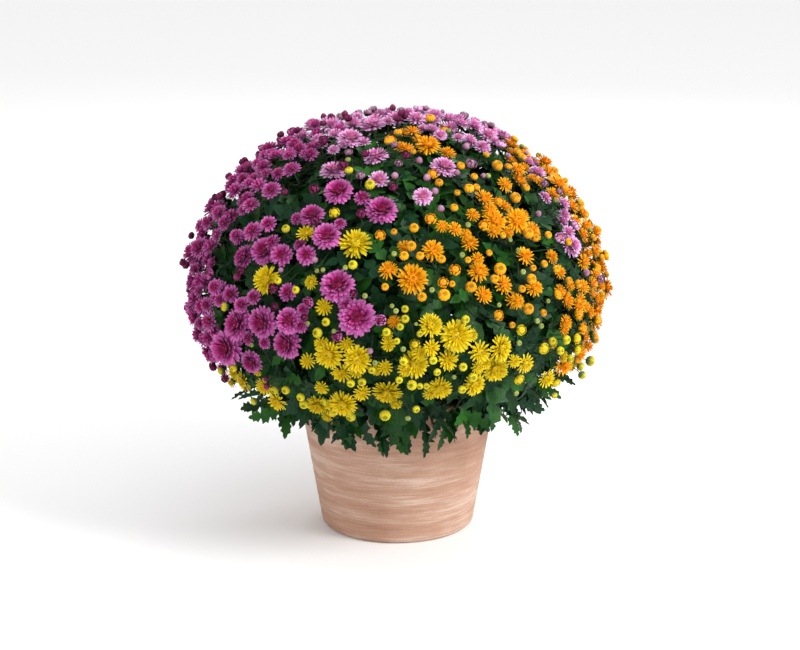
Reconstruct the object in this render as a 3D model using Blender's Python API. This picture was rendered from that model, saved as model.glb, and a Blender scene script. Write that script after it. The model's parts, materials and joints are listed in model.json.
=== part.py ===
"""Pot chrysanthemum: four small-flowered plants, each of its own colour, grown together in a clay pot.

Lengths are metres, +Z is up and the origin is on the pot's axis at the surface it stands on.
The pot and its soil carry the leafy stems, and each leafy stem carries one branching head of flowers.
"""
import math
import random
from dataclasses import dataclass, field
from enum import Enum

import bmesh
import bpy
from mathutils import Matrix, Quaternion, Vector
from mathutils.bvhtree import BVHTree

UP = Vector((0.0, 0.0, 1.0))


class Variety(Enum):
    """The four plants in the pot, by the colour of their flowers."""

    MAGENTA = "magenta"
    PINK = "pink"
    YELLOW = "yellow"
    ORANGE = "orange"


class Stage(Enum):
    """How far a flower head has opened."""

    BLOOM = "bloom"
    BUTTON = "button"


# The pot and the soil, in metres
POT_HEIGHT = 0.175
POT_RIM_RADIUS = 0.121
POT_BASE_RADIUS = 0.093
POT_WALL = 0.0085
POT_FLOOR = 0.012
SOIL_TOP = 0.156

# The outline that the flower heads stand on: a ball that is flattened, more so below its middle
PLANT_MIDDLE = 0.292
PLANT_RADIUS = 0.250
PLANT_RISE = 0.212
PLANT_DROP = 0.180

# Where the photograph was taken from
VIEW_DISTANCE = 2.5
VIEW_ELEVATION = math.radians(14.7)
VIEW_AIM = Vector((0.003, 0.0, 0.245))
FOCAL_PIXELS = 2083.0
MIDDLE_COLUMN = 400.0
MIDDLE_ROW = 325.0

# Open blooms that the photograph shows: column, row and width in its pixels
SEEN_BLOOMS = {
    Variety.MAGENTA: (
        (337, 188, 28), (381, 205, 30), (308, 210, 25), (326, 235, 27), (271, 190, 20), (257, 184, 18),
        (250, 204, 18), (290, 167, 19), (295, 141, 17), (308, 148, 16), (260, 163, 18), (273, 166, 15),
        (289, 155, 14), (224, 214, 22), (239, 196, 16), (250, 231, 21), (257, 246, 29), (238, 253, 25),
        (273, 251, 22), (267, 223, 17), (197, 247, 22), (230, 233, 16), (195, 281, 20), (210, 294, 25),
        (224, 294, 18), (331, 292, 34), (240, 306, 17), (358, 318, 36), (260, 323, 31), (233, 324, 32),
        (287, 324, 26), (282, 343, 31), (224, 349, 34), (250, 363, 23), (192, 318, 21), (207, 322, 20),
        (303, 253, 20), (283, 292, 19), (315, 124, 15), (278, 148, 14),
    ),
    Variety.PINK: (
        (372, 121, 24), (349, 137, 26), (375, 148, 25), (331, 164, 26), (317, 136, 16), (380, 109, 17),
        (378, 174, 21), (444, 165, 26), (440, 128, 18), (461, 123, 19), (472, 134, 15), (486, 141, 18),
        (423, 196, 20), (540, 169, 18), (550, 193, 15), (564, 203, 16), (570, 217, 15), (581, 242, 24),
        (336, 134, 16),
    ),
    Variety.YELLOW: (
        (353, 239, 31), (304, 232, 20), (262, 279, 28), (333, 356, 30), (352, 360, 28), (339, 375, 22),
        (342, 406, 28), (361, 398, 18), (386, 402, 30), (314, 415, 23), (275, 404, 22), (262, 390, 20),
        (230, 384, 17), (416, 368, 29), (452, 339, 32), (437, 329, 24), (451, 359, 22), (441, 393, 23),
        (482, 353, 23), (503, 351, 27), (501, 375, 27), (476, 387, 23), (526, 364, 20), (388, 346, 15),
        (384, 372, 16), (326, 300, 17), (304, 365, 16), (320, 391, 15), (310, 282, 15),
    ),
    Variety.ORANGE: (
        (413, 127, 18), (412, 141, 18), (427, 141, 24), (447, 146, 18), (525, 173, 21), (506, 183, 17),
        (486, 199, 22), (501, 219, 25), (516, 220, 25), (533, 225, 19), (455, 229, 16), (530, 254, 20),
        (473, 240, 18), (434, 248, 22), (388, 268, 20), (413, 278, 31), (483, 269, 22), (509, 284, 21),
        (486, 295, 19), (519, 300, 18), (539, 287, 18), (566, 271, 15), (558, 255, 15), (574, 300, 21),
        (570, 323, 17), (594, 253, 15), (390, 322, 14), (405, 243, 15),
    ),
}
# Half-open heads that the photograph shows, in the same way
SEEN_BUTTONS = {
    Variety.MAGENTA: ((306, 303, 13), (335, 341, 13), (383, 321, 13), (204, 274, 12), (184, 308, 12)),
    Variety.PINK: ((418, 108, 12), (501, 145, 12), (354, 108, 12), (580, 223, 12), (559, 239, 12)),
    Variety.YELLOW: (
        (546, 350, 13), (577, 339, 12), (582, 353, 12), (563, 389, 12), (521, 382, 12), (331, 415, 12),
        (416, 348, 12), (525, 332, 12), (334, 212, 12),
    ),
    Variety.ORANGE: (
        (390, 135, 13), (433, 173, 12), (431, 218, 13), (443, 283, 12), (560, 295, 12), (586, 316, 14),
        (600, 321, 12), (589, 331, 13), (604, 267, 12), (498, 316, 12), (456, 270, 13), (379, 233, 12),
        (486, 225, 12), (500, 200, 12), (447, 122, 12),
    ),
}
# Where each plant leans to from the pot, for the heads that the photograph hides
HOME = {
    Variety.MAGENTA: Vector((-0.85, 0.25, 0.15)).normalized(),
    Variety.PINK: Vector((0.05, 0.80, 0.50)).normalized(),
    Variety.YELLOW: Vector((0.15, -0.55, -0.75)).normalized(),
    Variety.ORANGE: Vector((0.90, 0.05, 0.10)).normalized(),
}
BLOOM_RADII = {
    Variety.MAGENTA: (0.0140, 0.0185),
    Variety.PINK: (0.0120, 0.0160),
    Variety.YELLOW: (0.0125, 0.0165),
    Variety.ORANGE: (0.0110, 0.0155),
}
BUTTON_RADII = (0.0055, 0.0075)
HIDDEN_BLOOMS = 92
HIDDEN_BUTTONS = 14
LOWEST_HEAD = math.radians(117.0)
HEAD_GAP = 0.0009
DEEPEST_SINK = 0.013
PLANTING_SEED = 41

# Sprays: each is a leafy stem from the soil with a branching head of flowers on it
SPRAYS = 25
HUB_DEPTH = 0.77
CROWN_DEPTH = 0.90
BRANCHING_LOW = 0.805
BRANCHING_TOP = 0.893
LOWEST_HUB = math.radians(110.0)
ROOT_DEPTH = 0.030
ROOT_CIRCLE = 0.093
STEM_RADIUS = 0.0023
STALK_RADIUS = 0.0026
PEDICEL_RADIUS = 0.00115
PEDICEL_GAP = 0.0007
SEAT_GAP = 0.0003
BENDS = (0.0, 0.25, 0.50, 0.88, 1.0)
BUSH_START = 0.40
BUSH_END = 0.95
BUSH_RADIUS = 0.045


def photo_ray(column, row):
    """The eye point and the direction of the sight line through a pixel of the photograph."""
    back = Vector((0.0, -math.cos(VIEW_ELEVATION), math.sin(VIEW_ELEVATION)))
    up = Vector((0.0, math.sin(VIEW_ELEVATION), math.cos(VIEW_ELEVATION)))
    across = (column - MIDDLE_COLUMN) / FOCAL_PIXELS
    rise = (MIDDLE_ROW - row) / FOCAL_PIXELS
    return VIEW_AIM + back * VIEW_DISTANCE, (Vector((across, 0.0, 0.0)) + up * rise - back).normalized()


def to_ball(point):
    """The point with the plant's outline shrunk to a unit ball about the origin."""
    level = point.z - PLANT_MIDDLE
    height = PLANT_RISE if level >= 0 else PLANT_DROP
    return Vector((point.x / PLANT_RADIUS, point.y / PLANT_RADIUS, level / height))


def from_ball(ball):
    """The place in the plant of a point of the unit ball."""
    height = PLANT_RISE if ball.z >= 0 else PLANT_DROP
    return Vector((ball.x * PLANT_RADIUS, ball.y * PLANT_RADIUS, PLANT_MIDDLE + ball.z * height))


def outward(ball):
    """The outline's normal at a direction of the unit ball."""
    height = PLANT_RISE if ball.z >= 0 else PLANT_DROP
    return Vector((ball.x / PLANT_RADIUS, ball.y / PLANT_RADIUS, ball.z / height)).normalized()


def ball_seen(column, row):
    """Where a pixel's sight line meets the plant's outline, or passes nearest to it, on the unit ball."""
    eye, line = photo_ray(column, row)
    nearest = None
    for step in range(1500):
        ball = to_ball(eye + line * (VIEW_DISTANCE - 0.30 + 0.0004 * step))
        if ball.length <= 1.0:
            return ball.normalized()
        if nearest is None or ball.length < nearest.length:
            nearest = ball
    return nearest.normalized()


@dataclass
class Head:
    """One flower head: its kind, its place on the outline and the stalk that carries it."""

    variety: Variety
    stage: Stage
    ball: Vector
    radius: float
    sink: float
    lean: Vector
    spin: float
    spray: int = -1
    stalk: list = field(default_factory=list)

    @property
    def middle(self):
        """The middle of the head."""
        return from_ball(self.ball) - outward(self.ball) * self.sink

    @property
    def facing(self):
        """The way the flower looks: out of the bush and a little up."""
        return (outward(self.ball) + self.lean).normalized()

    @property
    def foot(self):
        """Where the stalk enters the head."""
        return self.middle - self.facing * self.radius * 0.22


@dataclass
class Spray:
    """One leafy stem with its flower heads, all of one plant."""

    variety: Variety
    number: int
    hub: Vector
    heads: list
    path: list = field(default_factory=list)
    girth: list = field(default_factory=list)

    @property
    def crown(self):
        """The top of the spray's middle stalk."""
        return from_ball(self.hub * CROWN_DEPTH)


def lean_of(rng):
    return Vector((rng.uniform(-0.30, 0.30), rng.uniform(-0.30, 0.30), rng.uniform(0.0, 0.40)))


def seen_heads(rng):
    """The heads that the photograph shows, each at its pixel on the outline."""
    eye = photo_ray(MIDDLE_COLUMN, MIDDLE_ROW)[0]
    heads = []
    for stage, table in ((Stage.BLOOM, SEEN_BLOOMS), (Stage.BUTTON, SEEN_BUTTONS)):
        for variety, rows in table.items():
            for column, row, width in rows:
                ball = ball_seen(column, row)
                pixel = (from_ball(ball) - eye).length / FOCAL_PIXELS
                sink = rng.uniform(0.0, DEEPEST_SINK)
                head = Head(variety, stage, ball, 0.5 * width * pixel, sink, lean_of(rng), rng.random())
                heads.append(head)
    return heads


def hidden_ball(rng):
    """A random direction of the part of the outline that the photograph doesn't show."""
    toward = (photo_ray(MIDDLE_COLUMN, MIDDLE_ROW)[0] - Vector((0.0, 0.0, PLANT_MIDDLE))).normalized()
    while True:
        level = rng.uniform(math.cos(LOWEST_HEAD), 1.0)
        turn = rng.uniform(0.0, 2.0 * math.pi)
        flat = math.sqrt(1.0 - level * level)
        ball = Vector((flat * math.cos(turn), flat * math.sin(turn), level))
        if outward(ball).dot(toward) < 0.10:
            return ball


def home_variety(ball, rng):
    """The plant that a hidden head belongs to: mostly the one that leans that way."""
    return max(HOME, key=lambda variety: ball.dot(HOME[variety]) + rng.uniform(0.0, 0.22))


def hidden_heads(rng, heads):
    """Heads for the hidden side, each as far from its neighbours as the best of a few draws."""
    placed = [(head.middle, head.radius) for head in heads]
    grown = []
    for number in range(HIDDEN_BLOOMS + HIDDEN_BUTTONS):
        best = None
        for _ in range(24):
            ball = hidden_ball(rng)
            place = from_ball(ball)
            room = min((place - other).length - radius for other, radius in placed)
            if best is None or room > best[0]:
                best = (room, ball)
        ball = best[1]
        variety = home_variety(ball, rng)
        stage = Stage.BLOOM if number < HIDDEN_BLOOMS else Stage.BUTTON
        low, high = BLOOM_RADII[variety] if stage is Stage.BLOOM else BUTTON_RADII
        sink = rng.uniform(0.0, DEEPEST_SINK)
        head = Head(variety, stage, ball, rng.uniform(low, high), sink, lean_of(rng), rng.random())
        grown.append(head)
        placed.append((head.middle, head.radius))
    return grown


def spread(heads):
    """Slide the heads over the outline until no two of them touch."""
    for turn in range(90):
        places = [head.middle for head in heads]
        pushes = [Vector() for _ in heads]
        if turn % 15 == 0:
            near = [
                (i, j)
                for i in range(len(heads))
                for j in range(i + 1, len(heads))
                if (places[i] - places[j]).length < 0.07
            ]
        for i, j in near:
            gap = places[i] - places[j]
            short = heads[i].radius + heads[j].radius + HEAD_GAP - gap.length
            if short > 0.0:
                push = gap.normalized() * short
                pushes[i] += push * 0.5
                pushes[j] -= push * 0.5
        for head, push in zip(heads, pushes):
            if push.length > 0.0:
                head.ball = to_ball(from_ball(head.ball) + push * 0.9).normalized()


def shrink_touching(heads):
    """Make the last heads that still touch a little smaller."""
    for i, head in enumerate(heads):
        for other in heads[i + 1:]:
            short = head.radius + other.radius + HEAD_GAP - (head.middle - other.middle).length
            if short > 0.0:
                head.radius -= 0.51 * short
                other.radius -= 0.51 * short


def group(heads, count):
    """Sort heads into groups of near neighbours, starting from heads that lie far apart."""
    centres = [heads[0].ball]
    while len(centres) < count:
        centres.append(min(heads, key=lambda head: max(head.ball.dot(centre) for centre in centres)).ball)
    for _ in range(12):
        groups = [[] for _ in centres]
        for head in heads:
            groups[max(range(count), key=lambda k: head.ball.dot(centres[k]))].append(head)
        centres = [
            sum((head.ball for head in group), Vector()).normalized() if group else centre
            for group, centre in zip(groups, centres)
        ]
    return [members for members in groups if members]


def hub_of(members):
    """The direction of a spray's middle stalk, kept above the pot's rim."""
    hub = sum((head.ball for head in members), Vector()).normalized()
    lowest = math.cos(LOWEST_HUB)
    if hub.z < lowest:
        flat = Vector((hub.x, hub.y, 0.0)).normalized() * math.sqrt(1.0 - lowest * lowest)
        hub = Vector((flat.x, flat.y, lowest))
    return hub


def make_sprays(heads):
    sprays = []
    for variety in Variety:
        own = [head for head in heads if head.variety is variety]
        count = max(1, round(SPRAYS * len(own) / len(heads)))
        for members in group(own, count):
            number = len(sprays)
            for head in members:
                head.spray = number
            sprays.append(Spray(variety, number, hub_of(members), members))
    return sprays


def stem_path(hub):
    """The stem's line from its root in the soil to the place where the flower stalks begin."""
    top = from_ball(hub * HUB_DEPTH)
    turn = math.atan2(hub.y, hub.x)
    polar = math.acos(max(-1.0, min(1.0, hub.z)))
    reach = ROOT_CIRCLE * min(1.0, polar / LOWEST_HUB) ** 0.85
    foot = Vector((reach * math.cos(turn), reach * math.sin(turn), SOIL_TOP))
    lift = UP * 0.040
    settle = (from_ball(hub * CROWN_DEPTH) - top).normalized() * 0.045
    points = [foot - UP * ROOT_DEPTH]
    for t in BENDS:
        points.append(
            foot * (1 - t) ** 3
            + (foot + lift) * 3 * t * (1 - t) ** 2
            + (top - settle) * 3 * t * t * (1 - t)
            + top * t ** 3
        )
    return points


def closest_between(a, b, c, d):
    """The distance between two segments."""
    first, second, apart = b - a, d - c, a - c
    aa, bb, ab = first.dot(first), second.dot(second), first.dot(second)
    af, bf = first.dot(apart), second.dot(apart)
    spread_out = aa * bb - ab * ab
    s = min(1.0, max(0.0, (ab * bf - bb * af) / spread_out)) if spread_out > 1e-12 else 0.0
    t = (ab * s + bf) / bb if bb > 1e-12 else 0.0
    if t < 0.0 or t > 1.0:
        t = min(1.0, max(0.0, t))
        s = min(1.0, max(0.0, (ab * t - af) / aa)) if aa > 1e-12 else 0.0
    return (a + first * s - c - second * t).length


def fill_bushes(sprays):
    """How thick the twiggy leaf mass round each stem can be without reaching the next stem's."""
    for spray in sprays:
        spray.girth = []
        for index, point in enumerate(spray.path):
            if index == 0 or not BUSH_START <= BENDS[index - 1] <= BUSH_END:
                spray.girth.append(STEM_RADIUS)
                continue
            room = BUSH_RADIUS
            for other in sprays:
                if other is spray:
                    continue
                for a, b in zip(other.path, other.path[1:]):
                    room = min(room, 0.5 * closest_between(point, point, a, b) - 0.0012)
            beside_wall = POT_RIM_RADIUS - math.hypot(point.x, point.y) - POT_WALL - 0.002
            if point.z - room < POT_HEIGHT + 0.006:
                room = min(room, max(beside_wall, point.z - POT_HEIGHT - 0.006))
            spray.girth.append(max(STEM_RADIUS, room))


def clear_of_head(point, head, margin):
    offset = point - head.middle
    rise = offset.dot(head.facing)
    if rise < -0.45 * head.radius - margin or rise > 0.55 * head.radius + margin:
        return True
    return (offset - head.facing * rise).length > head.radius + margin


def route_clear(route, spray, sprays, laid):
    """Whether a flower stalk keeps clear of the other sprays' heads and stalks."""
    margin = 2.0 * PEDICEL_RADIUS + PEDICEL_GAP
    for a, b in zip(route, route[1:]):
        for number, c, d in laid:
            if number != spray.number and closest_between(a, b, c, d) < margin:
                return False
        for other in sprays:
            if other is spray:
                continue
            for head in other.heads:
                if (head.middle - a).length > 0.12:
                    continue
                for step in range(13):
                    if not clear_of_head(a.lerp(b, step / 12), head, PEDICEL_RADIUS + PEDICEL_GAP):
                        return False
    return True


def lay_stalks(sprays, rng):
    """Give every head a stalk from its spray's middle stalk, clear of the other sprays."""
    laid = []
    for spray in sprays:
        start = from_ball(spray.hub * HUB_DEPTH)
        laid.append((spray.number, start, spray.crown))
    for spray in sprays:
        for head in sorted(spray.heads, key=lambda head: -head.ball.dot(spray.hub)):
            wide = math.acos(max(-1.0, min(1.0, head.ball.dot(spray.hub))))
            level = BRANCHING_TOP - min(BRANCHING_TOP - BRANCHING_LOW, 0.16 * wide)
            for attempt in range(40):
                drop = 0.0 if attempt == 0 else rng.uniform(0.0, 0.04)
                root = from_ball(spray.hub * max(BRANCHING_LOW, level - drop))
                if attempt == 0:
                    route = [root, head.foot]
                else:
                    swing = 0.0015 * attempt
                    bend = root.lerp(head.foot, rng.uniform(0.4, 0.75))
                    bend += Vector((rng.uniform(-1, 1), rng.uniform(-1, 1), rng.uniform(-1, 1))) * swing
                    route = [root, bend, head.foot]
                if route_clear(route, spray, sprays, laid):
                    break
            head.stalk = route
            for a, b in zip(route, route[1:]):
                laid.append((spray.number, a, b))


def plant_layout():
    """All the sprays of the pot, with their heads and stems in place."""
    rng = random.Random(PLANTING_SEED)
    heads = seen_heads(rng)
    heads += hidden_heads(rng, heads)
    spread(heads)
    shrink_touching(heads)
    sprays = make_sprays(heads)
    for spray in sprays:
        spray.path = stem_path(spray.hub)
    fill_bushes(sprays)
    lay_stalks(sprays, rng)
    return sprays


# Leaves: a blade with lobes on a stalk that grows out of the twiggy mass round the stem
LEAF_SINK = 0.006
LEAF_TRIES = 90
SKIRT_POLAR = math.radians(78.0)
SKIRT_LEAVES = 5
CANOPY_LEAVES = 4
LOW_TIP = 0.118
LEAF_HALF_THICKNESS = 0.0007


@dataclass
class LeafPlace:
    """Where one leaf grows: its root, the way it points, its upper side and its size."""

    root: Vector
    along: Vector
    face: Vector
    length: float
    droop: float

    @property
    def side(self):
        """The direction across the blade."""
        return self.along.cross(self.face)

    def at(self, share, across, rise):
        """A point of the leaf: share of its length, share of its length sideways, height in metres."""
        arc = self.along * share - self.face * self.droop * share * share
        return self.root + (arc + self.side * across) * self.length + self.face * rise

    @property
    def tip(self):
        return self.at(1.0, 0.0, 0.0)


def leaf_counts(spray):
    """How many leaves hang over the rim from a spray and how many stand up among its flowers."""
    low = math.acos(max(-1.0, min(1.0, spray.hub.z))) > SKIRT_POLAR
    return (SKIRT_LEAVES, 2) if low else (0, CANOPY_LEAVES)


def leaf_draw(spray, number, hanging, attempt):
    """One seeded draw of a leaf's place on its spray."""
    rng = random.Random(PLANTING_SEED + 100000 * spray.number + 1000 * number + attempt)
    spot = rng.uniform(2.9, 4.0) if hanging else rng.uniform(3.3, 4.3)
    index = int(spot)
    middle = spray.path[index].lerp(spray.path[index + 1], spot - index)
    girth = spray.girth[index] + (spray.girth[index + 1] - spray.girth[index]) * (spot - index)
    stem = (spray.path[index + 1] - spray.path[index]).normalized()
    out = Vector((middle.x, middle.y, 0.0)).normalized()
    across = UP.cross(out)
    if hanging:
        swing = rng.uniform(-1.0, 1.0)
        away = (out * 0.8 + across * 1.1 * swing - UP * 0.25)
        away = (away - stem * away.dot(stem)).normalized()
        along = (out * rng.uniform(0.25, 0.75) + across * 0.35 * swing - UP).normalized()
        length = rng.uniform(0.070, 0.094)
        droop = rng.uniform(0.02, 0.14)
        face = out + UP * 0.25 + across * rng.uniform(-0.3, 0.3)
    else:
        turn = rng.uniform(0.0, 2.0 * math.pi)
        first = stem.orthogonal().normalized()
        away = (first * math.cos(turn) + stem.cross(first) * math.sin(turn)).normalized()
        normal = outward(spray.hub)
        along = (away * rng.uniform(0.4, 1.3) + normal * rng.uniform(0.6, 1.0)).normalized()
        length = rng.uniform(0.072, 0.102)
        droop = rng.uniform(0.05, 0.28)
        face = normal + UP * 0.3
    face = (face - along * face.dot(along)).normalized()
    root = middle + away * max(0.0, girth * 0.60 - LEAF_SINK)
    return LeafPlace(root, along, face, length, droop)


def leaf_in_bounds(leaf):
    """Whether a leaf stays inside the plant's outline and clear of the ground and the pot."""
    for share, across in ((1.0, 0.0), (0.68, 0.28), (0.68, -0.28), (0.85, 0.1), (0.85, -0.1)):
        point = leaf.at(share, across, 0.0)
        ball = to_ball(point)
        if ball.z > -0.55 and ball.length > 0.97:
            return False
        if point.z < LOW_TIP:
            return False
        if point.z < POT_HEIGHT - 0.01 and math.hypot(point.x, point.y) > 0.165:
            return False
    return True


# Colours of the materials: base colour, roughness and metallic value
FINISHES = {
    "terracotta": ((0.52, 0.30, 0.22), 0.85, 0.0),
    "soil": ((0.035, 0.022, 0.015), 0.95, 0.0),
    "foliage": ((0.025, 0.075, 0.020), 0.60, 0.0),
    "magenta": ((0.30, 0.020, 0.110), 0.60, 0.0),
    "pink": ((0.60, 0.22, 0.42), 0.60, 0.0),
    "yellow": ((0.80, 0.50, 0.008), 0.60, 0.0),
    "orange": ((0.82, 0.27, 0.006), 0.60, 0.0),
}

# The pot's finer sizes
POT_SEGMENTS = 30
SOIL_SEGMENTS = 30
POT_CORNER = 0.008
LIP_ROUND = 0.0025
DRAIN_RADIUS = 0.010
TOUCH_GAP = 0.0003
HOLE_GAP = 0.0012

# How coarse the plant's solids are
STEM_SIDES = 4
STALK_SIDES = 4
ROOT_RADIUS = 0.0009
LARGE_BLOOM = 0.0165
PEDICEL_SIDES = 3
BLOOM_PETALS = 5
SMOOTH_ANGLE = math.radians(35.0)


def clear_scene():
    """Empty the scene before the model is built."""
    for thing in list(bpy.data.objects):
        bpy.data.objects.remove(thing, do_unlink=True)


def material_of(name):
    """The material of one finish, made once."""
    material = bpy.data.materials.get(name)
    if material:
        return material
    colour, roughness, metallic = FINISHES[name]
    material = bpy.data.materials.new(name)
    material.use_nodes = True
    shader = material.node_tree.nodes["Principled BSDF"]
    shader.inputs["Base Color"].default_value = (*colour, 1.0)
    shader.inputs["Roughness"].default_value = roughness
    shader.inputs["Metallic"].default_value = metallic
    material.diffuse_color = (*colour, 1.0)
    return material


def make_object(name, bm, finish, collection=None):
    """Turn a bmesh into a named object with its material."""
    bmesh.ops.recalc_face_normals(bm, faces=bm.faces)
    mesh = bpy.data.meshes.new(name)
    bm.to_mesh(mesh)
    bm.free()
    mesh.materials.append(material_of(finish))
    thing = bpy.data.objects.new(name, mesh)
    (collection or bpy.context.scene.collection).objects.link(thing)
    return thing


def bake(thing):
    """Replace an object's mesh by its evaluated one and drop its modifiers."""
    bpy.context.view_layer.update()
    graph = bpy.context.evaluated_depsgraph_get()
    mesh = bpy.data.meshes.new_from_object(thing.evaluated_get(graph), depsgraph=graph)
    old = thing.data
    thing.modifiers.clear()
    thing.data = mesh
    bpy.data.meshes.remove(old)


def fuse(thing, extras, name):
    """Join extra closed meshes to an object by one Boolean union on a collection."""
    if not extras:
        return
    group = bpy.data.collections.new(name)
    bpy.context.scene.collection.children.link(group)
    for index, bm in enumerate(extras):
        make_object(f"{name}_{index}", bm, "foliage", group)
    union = thing.modifiers.new("union", "BOOLEAN")
    union.operation = "UNION"
    union.operand_type = "COLLECTION"
    union.collection = group
    union.solver = "EXACT"
    bake(thing)
    for extra in list(group.objects):
        mesh = extra.data
        bpy.data.objects.remove(extra, do_unlink=True)
        bpy.data.meshes.remove(mesh)
    bpy.data.collections.remove(group)


def bodies_of(bm):
    """The mesh's separate bodies, as sets of faces joined along edges, the largest first."""
    left = set(bm.faces)
    bodies = []
    while left:
        body = {left.pop()}
        front = list(body)
        while front:
            for edge in front.pop().edges:
                for other in edge.link_faces:
                    if other in left:
                        left.discard(other)
                        body.add(other)
                        front.append(other)
        bodies.append(body)
    return sorted(bodies, key=len, reverse=True)


def tidy_union(thing):
    """Tidy a union: drop idle points and loose scraps, and split every face into triangles."""
    bm = bmesh.new()
    bm.from_mesh(thing.data)
    idle = [vert for vert in bm.verts if len(vert.link_edges) == 2]
    bmesh.ops.dissolve_verts(bm, verts=idle)
    for scrap in bodies_of(bm)[1:]:
        bmesh.ops.delete(bm, geom=list(scrap), context="FACES")
    bmesh.ops.triangulate(bm, faces=bm.faces)
    bm.to_mesh(thing.data)
    bm.free()


def turned(profile, segments, closed=True):
    """A body turned round the pot's axis from a profile, which may start and end on the axis."""
    bm = bmesh.new()
    verts = [bm.verts.new((radius, 0.0, height)) for radius, height in profile]
    ends = verts[1:] + verts[:1] if closed else verts[1:]
    edges = [bm.edges.new((a, b)) for a, b in zip(verts, ends)]
    bmesh.ops.spin(
        bm,
        geom=verts + edges,
        cent=(0.0, 0.0, 0.0),
        axis=(0.0, 0.0, 1.0),
        angle=2.0 * math.pi,
        steps=segments,
        use_merge=True,
    )
    bmesh.ops.remove_doubles(bm, verts=bm.verts, dist=0.00001)
    return bm


def wall_radius(height):
    """The pot's outer radius at a height."""
    slope = (POT_RIM_RADIUS - POT_BASE_RADIUS) / (POT_HEIGHT - POT_CORNER)
    return POT_BASE_RADIUS + (height - POT_CORNER) * slope


def arc(centre, radius, start, end, steps):
    """Points of an arc in the profile plane."""
    points = []
    for step in range(steps + 1):
        angle = start + (end - start) * step / steps
        points.append((centre[0] + radius * math.cos(angle), centre[1] + radius * math.sin(angle)))
    return points


def build_pot():
    """The clay pot: a tapering wall with a rounded foot and lip, and a drain hole in its floor."""
    base_corner = (POT_BASE_RADIUS - POT_CORNER, POT_CORNER)
    lip = (POT_RIM_RADIUS - LIP_ROUND, POT_HEIGHT - LIP_ROUND)
    inner_lip = (POT_RIM_RADIUS - POT_WALL + LIP_ROUND, POT_HEIGHT - LIP_ROUND)
    floor_radius = wall_radius(POT_FLOOR) - POT_WALL
    profile = [(DRAIN_RADIUS, 0.0)]
    profile += arc(base_corner, POT_CORNER, -0.5 * math.pi, 0.0, 3)
    profile += arc(lip, LIP_ROUND, 0.0, 0.5 * math.pi, 1)
    profile += arc(inner_lip, LIP_ROUND, 0.5 * math.pi, math.pi, 1)
    profile += [(floor_radius, POT_FLOOR), (DRAIN_RADIUS, POT_FLOOR)]
    pot = make_object("pot", turned(profile, POT_SEGMENTS), "terracotta")
    pot.data.shade_smooth()
    pot.data.set_sharp_from_angle(angle=SMOOTH_ANGLE)


def frame_along(point, direction):
    """A placing matrix at a point with its Z axis along a direction."""
    return Matrix.Translation(point) @ direction.to_track_quat("Z", "Y").to_matrix().to_4x4()


def swept(points, radii, sides, first_way=None, last_way=None):
    """A tube through points, with its own radius at each and flat ends, square to the given ways."""
    bm = bmesh.new()
    loops = []
    for index, (point, radius) in enumerate(zip(points, radii)):
        before = points[max(0, index - 1)]
        after = points[min(len(points) - 1, index + 1)]
        way = (after - before).normalized()
        if index == 0 and first_way:
            way = first_way
        if index == len(points) - 1 and last_way:
            way = last_way
        place = frame_along(point, way)
        ring = bmesh.ops.create_circle(bm, segments=sides, radius=radius, matrix=place)["verts"]
        loops.append(sorted({edge for vert in ring for edge in vert.link_edges}, key=lambda e: e.index))
    for lower, upper in zip(loops, loops[1:]):
        bmesh.ops.bridge_loops(bm, edges=lower + upper)
    bmesh.ops.holes_fill(bm, edges=loops[0] + loops[-1], sides=0)
    return bm


def build_soil(sprays):
    """The root ball that fills the pot, with a plain hole for each stem."""
    radius = wall_radius(SOIL_TOP) - POT_WALL - TOUCH_GAP
    low = wall_radius(POT_FLOOR) - POT_WALL - TOUCH_GAP
    bottom = POT_FLOOR + TOUCH_GAP
    profile = [(0.0, bottom), (low, bottom), (radius, SOIL_TOP), (0.0, SOIL_TOP)]
    bm = turned(profile, SOIL_SEGMENTS, closed=False)
    soil = make_object("soil", bm, "soil")
    group = bpy.data.collections.new("holes")
    bpy.context.scene.collection.children.link(group)
    for spray in sprays:
        foot = spray.path[0]
        cutter = swept(
            [foot - UP * TOUCH_GAP, foot + UP * (ROOT_DEPTH + 0.01)], [STEM_RADIUS + HOLE_GAP] * 2, STEM_SIDES
        )
        make_object(f"hole_{spray.number}", cutter, "soil", group)
    cut = soil.modifiers.new("holes", "BOOLEAN")
    cut.operation = "DIFFERENCE"
    cut.operand_type = "COLLECTION"
    cut.collection = group
    cut.solver = "EXACT"
    bake(soil)
    for cutter in list(group.objects):
        bpy.data.objects.remove(cutter, do_unlink=True)
    bpy.data.collections.remove(group)


def leaf_mesh(leaf):
    """A lobed blade on its stalk: a thin lens, folded a little along its midrib."""
    outline = (
        (0.00, 0.000, 0.0),
        (0.36, 0.205, 0.0030),
        (0.50, 0.110, 0.0010),
        (0.68, 0.255, 0.0040),
        (1.00, 0.000, 0.0),
    )
    ribs = (0.28, 0.64)
    bm = bmesh.new()
    base = bm.verts.new(leaf.at(0.0, 0.0, 0.0))
    tip = bm.verts.new(leaf.tip)
    rims = []
    for sign in (1.0, -1.0):
        rims.append([base] + [bm.verts.new(leaf.at(t, sign * w, h)) for t, w, h in outline[1:-1]] + [tip])
    for face in (1.0, -1.0):
        mids = [bm.verts.new(leaf.at(t, 0.0, face * LEAF_HALF_THICKNESS)) for t in ribs]
        for rim in rims:
            owners = (0, 0, 1, 1)
            for index, owner in enumerate(owners):
                bm.faces.new((rim[index], rim[index + 1], mids[owner]))
                if index and owners[index - 1] != owner:
                    bm.faces.new((rim[index], mids[owner], mids[owners[index - 1]]))
    return bm


def tree_of(bm):
    """A search tree of a mesh's triangles."""
    bmesh.ops.triangulate(bm, faces=bm.faces)
    return BVHTree.FromBMesh(bm)


def mesh_tree(thing):
    bm = bmesh.new()
    bm.from_mesh(thing.data)
    tree = tree_of(bm)
    bm.free()
    return tree


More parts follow.
